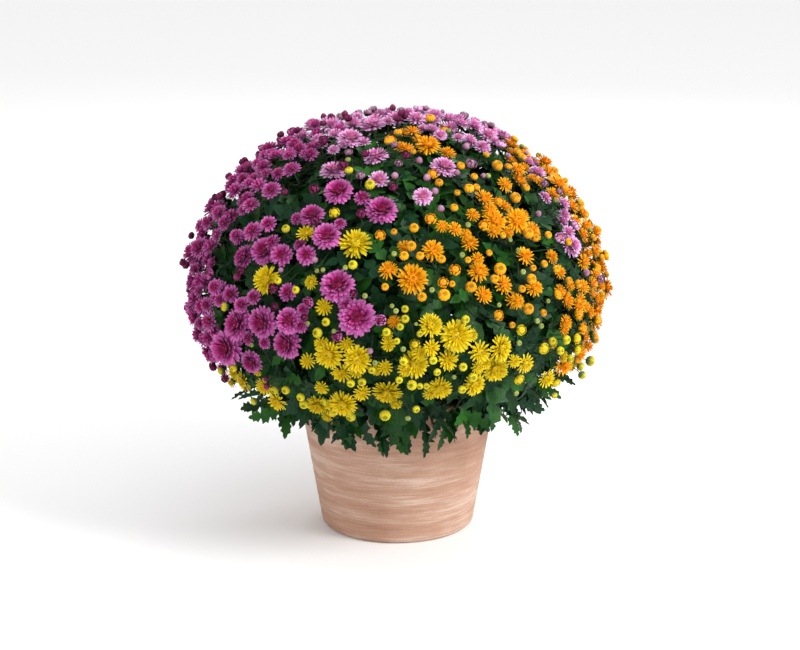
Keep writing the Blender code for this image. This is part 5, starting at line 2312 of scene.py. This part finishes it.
@dataclass
class Budding:
    """Places the small buds between the flower heads."""

    sprays: list[Spray]
    planting: Planting
    hidden_buds: int = 300
    reach: float = 1.05
    young_width: float = 6.5
    open_width: float = 8.5
    draws: int = 8
    depths: tuple[float, float] = (0.97, 1.0)
    widths: tuple[float, float] = (5.0, 12.0)
    slides: int = 12
    slide_reach: float = 0.012
    pressed: float = 0.8
    overshoot: float = 1.1
    joins: tuple[float, float] = (0.30, 0.62)
    far: float = 0.05
    far_join: float = 0.1
    lean_sideways: float = 0.3
    lean_up: float = 0.5
    seed: int = 77
    buds: list[list[Bud]] = field(default_factory=list)
    placed: list[tuple[Vector, float]] = field(default_factory=list)

    def seen_place(self, column: float, row: float) -> tuple[Vector, Vector]:
        """Where a bud stands that the photograph shows.

        Args:
            column: The pixel's column from the left.
            row: The pixel's row from the top.

        Returns:
            Its place, and its direction on the unit ball.
        """
        point = point_seen(column, row)
        ball = point.normalized()
        if point.length <= 1.0:
            return OUTLINE.from_ball(point), ball
        return OUTLINE.from_ball(ball * min(self.reach, point.length)), ball

    def clear_heads(self, place: Vector, radius: float) -> Vector:
        """Slide a bud sideways until it is clear of the flower heads.

        Args:
            place: Its place.
            radius: Its radius.

        Returns:
            The clear place.
        """
        heads = [head for spray in self.sprays for head in spray.heads]
        reach = radius + self.slide_reach
        near = [head for head in heads if (head.middle - place).length < head.radius + reach]
        for _ in range(self.slides):
            for head in near:
                gap = place - head.middle
                short = head.radius + radius * self.pressed - gap.length
                if short > 0.0:
                    normal = OUTLINE.outward(OUTLINE.to_ball(place))
                    flat = gap - normal * gap.dot(normal)
                    place = place + flat.normalized() * short * self.overshoot
        return place

    def stalk_root(self, variety: Variety, place: Vector, rng: random.Random) -> tuple[int, Vector]:
        """Where a bud's own stalk starts.

        Args:
            variety: The plant.
            place: The bud's place.
            rng: The source of random draws.

        Returns:
            The number of the spray that carries it, and the point where its stalk leaves that spray.
        """
        head = nearest_head(self.sprays, variety, place)
        share = rng.uniform(*self.joins)
        if (head.middle - place).length > self.far:
            share = self.far_join
        return head.spray, head.stalk[0].lerp(head.stalk[-1], share)

    def grow(self) -> None:
        """Place all the buds, sorted by spray."""
        rng = random.Random(self.seed)
        self.buds = [[] for _ in self.sprays]
        for variety, rows in SEEN_BUDS.items():
            for column, row, width in rows:
                place, ball = self.seen_place(column, row)
                self.plant(variety, place, ball, width, rng)
        for _ in range(self.hidden_buds):
            spots = []
            for _ in range(self.draws):
                ball = self.planting.hidden_ball(rng, self.planting.hidden_limit)
                spots.append((OUTLINE.from_ball(ball * rng.uniform(*self.depths)), ball))
            place, ball = max(spots, key=lambda spot: clearance(spot[0], self.placed))
            variety = self.planting.home_variety(ball, rng)
            self.plant(variety, place, ball, rng.uniform(*self.widths), rng)

    def plant(self, variety: Variety, place: Vector, ball: Vector, width: float, rng: random.Random) -> None:
        """Give one bud its clear place, its spray, its stalk's root and the way it looks.

        Args:
            variety: The plant.
            place: Where it would stand.
            ball: Its direction on the unit ball.
            width: Its width in the photograph's pixels.
            rng: The source of random draws.
        """
        place = self.clear_heads(place, 0.5 * width * pixel_size(place))
        radius = 0.5 * width * pixel_size(place)
        number, root = self.stalk_root(variety, place, rng)
        side = self.lean_sideways
        lean = Vector((rng.uniform(-side, side), rng.uniform(-side, side), rng.uniform(0.0, self.lean_up)))
        facing = (OUTLINE.outward(ball) + lean).normalized()
        double = variety in (Variety.MAGENTA, Variety.PINK)
        young = width < self.young_width and not double
        half_open = width > self.open_width and double
        self.buds[number].append(Bud(variety, place, facing, radius, young, root, half_open))
        self.placed.append((place, 0.0))


@dataclass(frozen=True)
class SkirtRing:
    """A ring of leaves over the rim: their number, and the turns, reaches and heights of their tips."""

    count: int
    start: float
    sweep: float
    reaches: tuple[float, float]
    heights: tuple[float, float]
    slope: float = 0.0

    def tip(self, number: int, rng: random.Random) -> Vector:
        """Where the tip of one of the leaves hangs.

        Args:
            number: The leaf's number in the ring.
            rng: The source of random draws.

        Returns:
            The point.
        """
        turn = math.radians(self.start + self.sweep * (number + rng.random()) / self.count)
        reach = rng.uniform(*self.reaches)
        height = (reach - self.reaches[0]) * self.slope + rng.uniform(*self.heights)
        return Vector((reach * math.cos(turn), reach * math.sin(turn), height))


SKIRT_RINGS = (
    SkirtRing(46, -10.0, 200.0, (0.140, 0.185), (0.108, 0.150)),
    SkirtRing(84, 0.0, 360.0, (0.134, 0.152), (0.146, 0.166)),
    SkirtRing(60, 0.0, 360.0, (0.150, 0.215), (0.128, 0.158), 0.55),
)


@dataclass
class Foliage:
    """Grows the twigs and the smaller leaves that fill the bush between the flowers."""

    sprays: list[Spray]
    twigs: int = 500
    twig_steps: int = 6
    twig_spots: tuple[float, float] = (2.7, 4.6)
    twig_depths: tuple[float, float] = (0.78, 0.92)
    twig_scatter: float = 0.04
    leaf_spots: tuple[tuple[float, float], ...] = (
        (1.0, 0.042), (0.86, 0.047), (0.70, 0.054), (0.48, 0.066),
        (0.30, 0.076),
    )
    tries: int = 10
    probes: tuple[tuple[float, float], ...] = (
        (0.30, 0.0), (0.45, 0.18), (0.45, -0.18), (0.68, 0.24),
        (0.68, -0.24), (1.0, 0.0),
    )
    lowest: float = math.radians(121.0)
    seed: int = 5
    rim_height: float = 0.178
    wall_radius: float = 0.125
    lowest_point: float = 0.098
    underside: float = -0.60
    highest: float = 0.965
    head_reach: float = 0.040
    head_behind: float = 0.35
    head_cover: float = 0.95
    flare_start: float = 0.142
    flare_width: float = 0.050
    flare_lift: float = 0.55
    flare_out: float = 0.8
    flare_bank: float = 0.5
    hang_lengths: tuple[float, float] = (0.040, 0.056)
    hang_droop: float = 0.12
    skirt_reaches: tuple[float, float] = (0.136, 0.150)
    lines: list[list[list[Vector]]] = field(init=False)
    leaves: list[list[LeafPlace]] = field(init=False)
    hanging: list[list[LeafPlace]] = field(init=False)
    heads: list[Head] = field(init=False)
    tree: KDTree = field(init=False)

    def __post_init__(self) -> None:
        """Prepare the search among the flower heads."""
        self.lines = [[] for _ in self.sprays]
        self.leaves = [[] for _ in self.sprays]
        self.hanging = [[] for _ in self.sprays]
        self.heads = [head for spray in self.sprays for head in spray.heads]
        self.tree = tree_of([head.middle for head in self.heads])

    def hides_head(self, point: Vector) -> bool:
        """Whether a leaf would lie in or over a flower head.

        Args:
            point: A point of the leaf.

        Returns:
            True if it would.
        """
        for _, index, _ in self.tree.find_range(point, self.head_reach):
            head = self.heads[index]
            offset = point - head.middle
            rise = offset.dot(head.facing)
            beside = (offset - head.facing * rise).length
            if rise >= -self.head_behind * head.radius and beside < self.head_cover * head.radius:
                return True
        return False

    def room_for(self, leaf: LeafPlace) -> bool:
        """Whether a leaf keeps inside the outline and clear of the flowers and the pot.

        Args:
            leaf: The leaf.

        Returns:
            True if it does.
        """
        for share, across in self.probes:
            point = leaf.at(share, across)
            ball = OUTLINE.to_ball(point)
            outside = ball.z > self.underside and ball.length > self.highest
            in_pot = point.z < self.rim_height and math.hypot(point.x, point.y) < self.wall_radius
            if outside or in_pot or point.z < self.lowest_point or self.hides_head(point):
                return False
        return True

    def owner(self, ball: Vector) -> Spray:
        """The spray whose own part of the bush a direction lies in."""
        return max(self.sprays, key=lambda spray: spray.hub.dot(ball))

    def twig_line(self, spray: Spray, end: Vector, rng: random.Random) -> list[Vector]:
        """A twig that leaves a spray's stem and bends out to a point.

        Args:
            spray: The spray.
            end: The point.
            rng: The source of random draws.

        Returns:
            The points of its middle line.
        """
        start, way, _ = spray.along_stem(rng.uniform(*self.twig_spots))
        middle = start.lerp(end, 0.45) + way * 0.25 * (end - start).length
        shares = [step / self.twig_steps for step in range(self.twig_steps + 1)]
        return [start * (1 - t) ** 2 + middle * 2 * t * (1 - t) + end * t * t for t in shares]

    def leaf_near(self, root: Vector, turn: float, length: float, rng: random.Random) -> LeafPlace:
        """A leaf that spreads from a twig, with its upper side to the light.

        Args:
            root: Where it starts.
            turn: Which way it spreads.
            length: Its length.
            rng: The source of random draws.

        Returns:
            The leaf's place.
        """
        normal = OUTLINE.outward(OUTLINE.to_ball(root))
        first = normal.orthogonal().normalized()
        lateral = first * math.cos(turn) + normal.cross(first) * math.sin(turn)
        along = (lateral * 0.9 + normal * rng.uniform(0.10, 0.85) - UP * rng.uniform(0.0, 0.25)).normalized()
        swing = Vector((rng.uniform(-0.3, 0.3), rng.uniform(-0.3, 0.3), rng.uniform(-0.1, 0.3)))
        face = squared_to(normal + UP * 0.35 + swing, along)
        return LeafPlace(root, along, face, length, rng.uniform(0.08, 0.2))

    def grow_canopy(self) -> None:
        """Fill the bush with leafy twigs, evenly over its outline."""
        rng = random.Random(self.seed)
        low = math.cos(self.lowest)
        for number in range(self.twigs):
            level = 1.0 - (1.0 - low) * (number + 0.5) / self.twigs
            ball = (ball_at(level, GOLDEN_TURN * number) + scattered(rng, self.twig_scatter)).normalized()
            spray = self.owner(ball)
            end = OUTLINE.from_ball(ball * rng.uniform(*self.twig_depths))
            line = self.twig_line(spray, end, rng)
            self.lines[spray.number].append(line)
            azimuth = rng.uniform(0.0, 2.0 * math.pi)
            for spot, usual in self.leaf_spots[: len(self.leaf_spots) - number % 2]:
                step = spot * self.twig_steps
                low_step = min(int(step), self.twig_steps - 1)
                root = line[low_step].lerp(line[low_step + 1], step - low_step)
                for attempt in range(self.tries):
                    azimuth += GOLDEN_TURN
                    length = usual * rng.uniform(0.85, 1.2) * (1.0 - 0.5 * attempt / self.tries)
                    leaf = self.leaf_near(root, azimuth, length, rng)
                    if self.room_for(leaf):
                        self.leaves[spray.number].append(leaf)
                        break

    def hang(self, tip: Vector, rng: random.Random) -> None:
        """Hang one leaf over the rim on a twig of its own.

        Args:
            tip: Where its tip is.
            rng: The source of random draws.
        """
        out = Vector((tip.x, tip.y, 0.0)).normalized()
        across = UP.cross(out)
        flare = min(1.0, max(0.0, (math.hypot(tip.x, tip.y) - self.flare_start) / self.flare_width))
        drop = rng.uniform(0.7, 1.0) - self.flare_lift * flare
        swing = rng.uniform(-0.9, 0.9)
        spread = rng.uniform(0.2, 0.6) + self.flare_out * flare
        along = (out * spread + across * swing - UP * drop).normalized()
        bank = rng.choice((-1.0, 1.0)) * (rng.uniform(0.2, 1.1) + self.flare_bank * flare)
        face = squared_to(out * 0.7 + UP * 0.6 + across * bank, along)
        leaf = LeafPlace(Vector(), along, face, rng.uniform(*self.hang_lengths), self.hang_droop)
        leaf.root = tip - leaf.tip
        spray = self.owner(OUTLINE.to_ball(leaf.root).normalized())
        self.lines[spray.number].append(self.twig_line(spray, leaf.root, rng))
        self.hanging[spray.number].append(leaf)

    def grow_skirt(self) -> None:
        """The leaves that hang over the pot's rim, at the photograph's tips and all round."""
        rng = random.Random(self.seed + 1)
        for column, row in SKIRT_TIPS:
            line = VIEW.ray(column, row)
            x = (column - VIEW.middle_column) * VIEW.distance / VIEW.focal_pixels
            reach = max(rng.uniform(*self.skirt_reaches), abs(x) * 1.01 + 0.004)
            depth = -math.sqrt(max(0.0, reach * reach - x * x))
            self.hang(VIEW.eye + line * ((depth - VIEW.eye.y) / line.y), rng)
        for ring in SKIRT_RINGS:
            for number in range(ring.count):
                self.hang(ring.tip(number, rng), rng)


@dataclass
class Plant:
    """Dresses every spray: petals, stalks and leaves."""

    sprays: list[Spray]
    buds: list[list[Bud]]
    foliage: Foliage
    nodes: dict[str, Object]
    bloom_share: float = 1.16
    button_calyx: float = 1.5
    full_radius: float = 0.0126
    bloom_kinds: tuple[tuple[float, float], ...] = ((1.0, 1.0), (0.96, 1.0), (0.94, 0.6), (0.80, 0.6))
    leaf_bends: tuple[tuple[float, float], ...] = (
        (0.2, 0.10), (0.35, 0.16), (0.3, 0.24), (0.45, 0.12),
        (0.25, 0.3),
    )
    stem_radius: float = 0.0023
    pedicel_radius: float = 0.00090
    bow: float = 0.34
    bow_place: float = 0.55
    bud_stalk_radius: float = 0.00070
    twig_radius: float = 0.0011
    twig_taper: float = 0.45
    flower_shade: float = 0.6
    rise_length: float = 0.009
    rise_share: float = 0.20
    bud_rise_length: float = 0.010
    bud_rise_share: float = 0.35
    bud_foot: float = 0.8
    sunk_end: float = 0.1
    button_seeds: int = 5
    small_leaf_seeds: int = 20
    leaf_seeds: int = 50
    seed: int = 900
    flowers: dict[Variety, list[Mesh]] = field(init=False)
    buttons: dict[Variety, list[Mesh]] = field(init=False)
    bud_shapes: dict[Variety, Mesh] = field(init=False)
    calyx: Mesh = field(init=False)
    leaf_shapes: list[Mesh] = field(init=False)
    small_leaf_shapes: list[Mesh] = field(init=False)
    flower_paints: dict[Variety, list[Material]] = field(init=False)
    leaf_paint: Material = field(init=False)
    stem_paint: Material = field(init=False)

    def __post_init__(self) -> None:
        """Make the shapes and finishes that are used over and over."""
        self.flowers = {}
        self.buttons = {}
        for index, variety in enumerate(Variety):
            seed = self.seed + 10 * index
            self.flowers[variety] = [
                FLOWERS[variety].mesh(openness, seed + number, fullness)
                for number, (openness, fullness) in enumerate(self.bloom_kinds)
            ]
            self.buttons[variety] = [
                BUTTON_FORMS[variety].mesh(1.0, seed + self.button_seeds + number) for number in range(2)
            ]
        pointed = POINTED_BUD.mesh()
        dimpled = BudForm().mesh()
        self.bud_shapes = {
            Variety.MAGENTA: pointed,
            Variety.PINK: pointed,
            Variety.YELLOW: dimpled,
            Variety.ORANGE: dimpled,
        }
        self.calyx = CalyxForm().mesh()
        self.leaf_shapes = self.bent_leaves(LeafForm(), self.seed)
        small = LeafForm(outline=SMALL_LEAF)
        self.small_leaf_shapes = self.bent_leaves(small, self.seed + self.small_leaf_seeds)
        young = YOUNG_BUD.make("young_bud_finish")
        self.flower_paints = {
            variety: [
                PETALS[variety].make(f"{variety.value}_petal_finish"),
                EYES[variety].make(f"{variety.value}_eye_finish"),
                BUDS[variety].make(f"{variety.value}_bud_finish"),
                young,
            ]
            for variety in Variety
        }
        self.leaf_paint = LeafFinish().make("leaf_finish")
        self.stem_paint = StemFinish().make("stem_finish")

    def bent_leaves(self, form: LeafForm, seed: int) -> list[Mesh]:
        """Leaves of one form, each folded and drooping in its own way.

        Args:
            form: The form.
            seed: The seed of the first leaf's irregularities.

        Returns:
            The shapes.
        """
        return [
            replace(form, fold=fold, droop=droop).mesh(seed + index)
            for index, (fold, droop) in enumerate(self.leaf_bends)
        ]

    def flower_tint(self, rng: random.Random) -> float:
        """How much lighter or darker one flower is than the others."""
        return rng.uniform(-self.flower_shade, self.flower_shade)

    def flower_shape(self, head: Head) -> Mesh:
        """The flower shape for a head: the larger, the further open.

        Args:
            head: The head.

        Returns:
            The shape.
        """
        pick = int(head.spin * 2.0)
        if head.stage is Stage.BUTTON:
            return self.buttons[head.variety][pick]
        return self.flowers[head.variety][pick if head.radius > self.full_radius else pick + 2]

    def build_petals(self, spray: Spray) -> Object:
        """Build the petals, eyes and buds of one spray.

        Args:
            spray: The spray.

        Returns:
            The piece.
        """
        rng = random.Random(self.seed + spray.number)
        heap = Heap()
        for head in spray.heads:
            share = self.bloom_share if head.stage is Stage.BLOOM else 1.0
            heap.add(self.flower_shape(head), head.place(share), self.flower_tint(rng))
        for bud in self.buds[spray.number]:
            if bud.half_open:
                shape = rng.choice(self.buttons[bud.variety])
                heap.add(shape, bud.place(), self.flower_tint(rng), FlowerPart.BUD)
            else:
                part = FlowerPart.YOUNG_BUD if bud.young else FlowerPart.BUD
                heap.add(self.bud_shapes[bud.variety], bud.place(), rng.uniform(-1.0, 1.0), part)
        colour = spray.variety.value
        name = f"{colour}_flowers_{spray.number:02d}"
        return heap.piece(name, self.flower_paints[spray.variety], f"{colour}_petals", spray.flower_node)

    def head_stalk(self, head: Head) -> list[Vector]:
        """The bowed line of a flower stalk, which comes up under its head.

        Args:
            head: The flower head.

        Returns:
            The points of its middle line.
        """
        root = head.stalk[0]
        outward = OUTLINE.outward(head.ball)
        length = (head.foot - root).length
        bowed = root.lerp(head.foot, self.bow_place) - outward * self.bow * length
        before = head.foot - (head.facing + outward) * min(self.rise_length, self.rise_share * length)
        end = head.foot + head.facing * self.sunk_end * head.radius
        return smooth_line([root, bowed, before, end], 3)

    def bud_stalk(self, bud: Bud) -> list[Vector]:
        """The line of a bud's stalk.

        Args:
            bud: The bud.

        Returns:
            The points of its middle line.
        """
        foot = bud.middle - bud.facing * bud.radius * self.bud_foot
        rise = min(self.bud_rise_length, self.bud_rise_share * (foot - bud.root).length)
        end = foot + bud.facing * self.sunk_end * bud.radius
        return smooth_line([bud.root, foot - bud.facing * rise, end], 2)

    def build_stalks(self, spray: Spray) -> Object:
        """Build the stem, twigs, flower stalks and calyxes of one spray.

        Args:
            spray: The spray.

        Returns:
            The piece.
        """
        heap = Heap()
        stem = smooth_line([*spray.path, spray.crown], 2)
        heap.add_tube(stem, [self.stem_radius] * len(stem), 7)
        for line in self.foliage.lines[spray.number]:
            taper = self.twig_taper
            radii = [self.twig_radius * (1.0 - taper * index / (len(line) - 1)) for index in range(len(line))]
            heap.add_tube(line, radii, 4)
        for head in spray.heads:
            line = self.head_stalk(head)
            heap.add_tube(line, [self.pedicel_radius] * len(line), 4)
            share = self.bloom_share * (1.0 if head.stage is Stage.BLOOM else self.button_calyx)
            heap.add(self.calyx, head.place(share) @ Matrix.Translation((0.0, 0.0, -0.02)))
        for bud in self.buds[spray.number]:
            line = self.bud_stalk(bud)
            heap.add_tube(line, [self.bud_stalk_radius] * len(line), 3)
        name = f"{spray.variety.value}_stalks_{spray.number:02d}"
        return heap.piece(name, [self.stem_paint], "foliage", spray.flower_node, spray.stem_node)

    def build_leaves(self, spray: Spray, large: list[LeafPlace]) -> Object:
        """Build the leaves of one spray.

        Args:
            spray: The spray.
            large: The places of the large leaves that the solids have.

        Returns:
            The piece.
        """
        rng = random.Random(self.seed + self.leaf_seeds + spray.number)
        heap = Heap()
        for leaf in [*large, *self.foliage.hanging[spray.number]]:
            heap.add(rng.choice(self.leaf_shapes), leaf.place(), rng.uniform(-1.0, 1.0))
        for leaf in self.foliage.leaves[spray.number]:
            heap.add(rng.choice(self.small_leaf_shapes), leaf.place(), rng.uniform(-1.0, 1.0))
        name = f"{spray.variety.value}_leaves_{spray.number:02d}"
        return heap.piece(name, [self.leaf_paint], "foliage", spray.stem_node)

    def build(self) -> None:
        """Build every spray's pieces."""
        finder = LargeLeaves()
        for spray in self.sprays:
            large = finder.find(spray, self.nodes[spray.stem_node])
            for made in (self.build_petals(spray), self.build_stalks(spray), self.build_leaves(spray, large)):
                faces = sum(len(polygon.vertices) - 2 for polygon in made.data.polygons)
                LOG.info("%s: %d triangles", made.name, faces)


@dataclass
class Pot:
    """The clay pot: a thrown, tapering wall with a rounded foot and lip and a drain hole."""

    height: float = 0.175
    rim_radius: float = 0.121
    base_radius: float = 0.093
    wall: float = 0.0085
    floor: float = 0.012
    corner: float = 0.008
    lip: float = 0.0025
    drain: float = 0.010
    segments: int = 160
    throwing_rings: int = 26
    throwing_depth: float = 0.00022
    ring_unevenness: float = 0.4
    ring_beat: float = 1.7
    merge: float = 0.00001
    sharp_angle: float = math.radians(40.0)

    def wall_radius(self, height: float) -> float:
        """The outer radius at a height."""
        slope = (self.rim_radius - self.base_radius) / (self.height - self.corner)
        return self.base_radius + (height - self.corner) * slope

    @staticmethod
    def arc(
        centre: tuple[float, float], radius: float, start: float, end: float, steps: int
    ) -> list[tuple[float, float]]:
        """Points of an arc in the profile plane.

        Args:
            centre: The arc's centre.
            radius: Its radius.
            start: Where it starts, in quarter turns.
            end: Where it ends, in quarter turns.
            steps: How many steps it has.

        Returns:
            The points.
        """
        points = []
        for step in range(steps + 1):
            angle = 0.5 * math.pi * (start + (end - start) * step / steps)
            points.append((centre[0] + radius * math.cos(angle), centre[1] + radius * math.sin(angle)))
        return points

    def profile(self) -> list[tuple[float, float]]:
        """The closed profile of the wall and the floor.

        Returns:
            The radius and height of each of its points.
        """
        points = [(self.drain, 0.0)]
        points += self.arc((self.base_radius - self.corner, self.corner), self.corner, -1.0, 0.0, 8)
        top = self.height - self.lip
        for ring in range(1, 2 * self.throwing_rings):
            height = self.corner + (top - self.corner) * ring / (2 * self.throwing_rings)
            uneven = 0.6 + self.ring_unevenness * math.sin(ring * self.ring_beat)
            swell = self.throwing_depth * (1.0 if ring % 2 else -1.0) * uneven
            points.append((self.wall_radius(height) + swell, height))
        points += self.arc((self.rim_radius - self.lip, top), self.lip, 0.0, 1.0, 5)
        points += self.arc((self.rim_radius - self.wall + self.lip, top), self.lip, 1.0, 2.0, 5)
        points += [(self.wall_radius(self.floor) - self.wall, self.floor), (self.drain, self.floor)]
        return points

    def build(self, finish: ClayFinish) -> Object:
        """Turn the pot from its profile.

        Args:
            finish: The clay.

        Returns:
            The piece.
        """
        mesh = saved(turned(self.profile(), self.segments, closed=True, merge=self.merge), "clay_pot")
        mesh.set_sharp_from_angle(angle=self.sharp_angle)
        mesh.materials.append(finish.make("clay_finish"))
        made = shown("clay_pot", mesh)
        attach(made, BODY)
        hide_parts("pot")
        LOG.info("clay_pot: %d faces", len(mesh.polygons))
        return made


@dataclass
class Studio:
    """The pale floor and the soft lights."""

    floor_reach: float = 16.0
    floor_colour: Colour = (0.93, 0.93, 0.93)
    sky_colour: Colour = (1.0, 1.0, 1.0)
    sky_strength: float = 0.95
    floor_roughness: float = 0.9
    aim: tuple[float, float, float] = (0.0, 0.0, 0.25)
    lights: tuple[tuple[str, tuple[float, float, float], float, float], ...] = (
        ("key", (2.0, -1.3, 2.1), 1.1, 72.0),
        ("back", (0.5, 2.2, 2.0), 1.4, 22.0),
    )

    def build(self) -> None:
        """Build the floor, the sky and the lights."""
        bm = bmesh.new()
        bmesh.ops.create_grid(bm, x_segments=1, y_segments=1, size=self.floor_reach)
        mesh = bpy.data.meshes.new("floor")
        bm.to_mesh(mesh)
        bm.free()
        paint = Paint("floor_finish")
        paint.shader.inputs["Base Color"].default_value = (*self.floor_colour, 1.0)
        paint.shader.inputs["Roughness"].default_value = self.floor_roughness
        mesh.materials.append(paint.material)
        floor = shown("floor", mesh)
        world = bpy.data.worlds.new("sky")
        world.use_nodes = True
        sky = world.node_tree.nodes["Background"]
        sky.inputs["Color"].default_value = (*self.sky_colour, 1.0)
        sky.inputs["Strength"].default_value = self.sky_strength
        bpy.context.scene.world = world
        for name, place, size, power in self.lights:
            data = bpy.data.lights.new(name, "AREA")
            data.shape = "DISK"
            data.size = size
            data.energy = power
            light = shown(name, data)
            light.location = place
            way = Vector(self.aim) - Vector(place)
            light.rotation_euler = way.to_track_quat("-Z", "Y").to_euler()
        bpy.context.scene.view_settings.view_transform = "Standard"


def dress_soil(node: Object) -> None:
    """Give the packed soil its finish."""
    node.data.materials.clear()
    node.data.materials.append(SoilFinish().make("soil_finish"))


def main() -> None:
    """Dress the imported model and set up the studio."""
    logging.basicConfig(level=logging.INFO, format="%(message)s")
    for thing in list(bpy.data.objects):
        bpy.data.objects.remove(thing, do_unlink=True)
    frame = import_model()
    VIEW.make_camera()
    Studio().build()
    planting = Planting()
    sprays = planting.plan()
    Crowding(sprays, planting).grow()
    budding = Budding(sprays, planting)
    budding.grow()
    foliage = Foliage(sprays)
    foliage.grow_canopy()
    foliage.grow_skirt()
    Plant(sprays, budding.buds, foliage, frame["nodes"]).build()
    Pot().build(ClayFinish())
    dress_soil(frame["nodes"]["soil"])


if __name__ == "__main__":
    main()
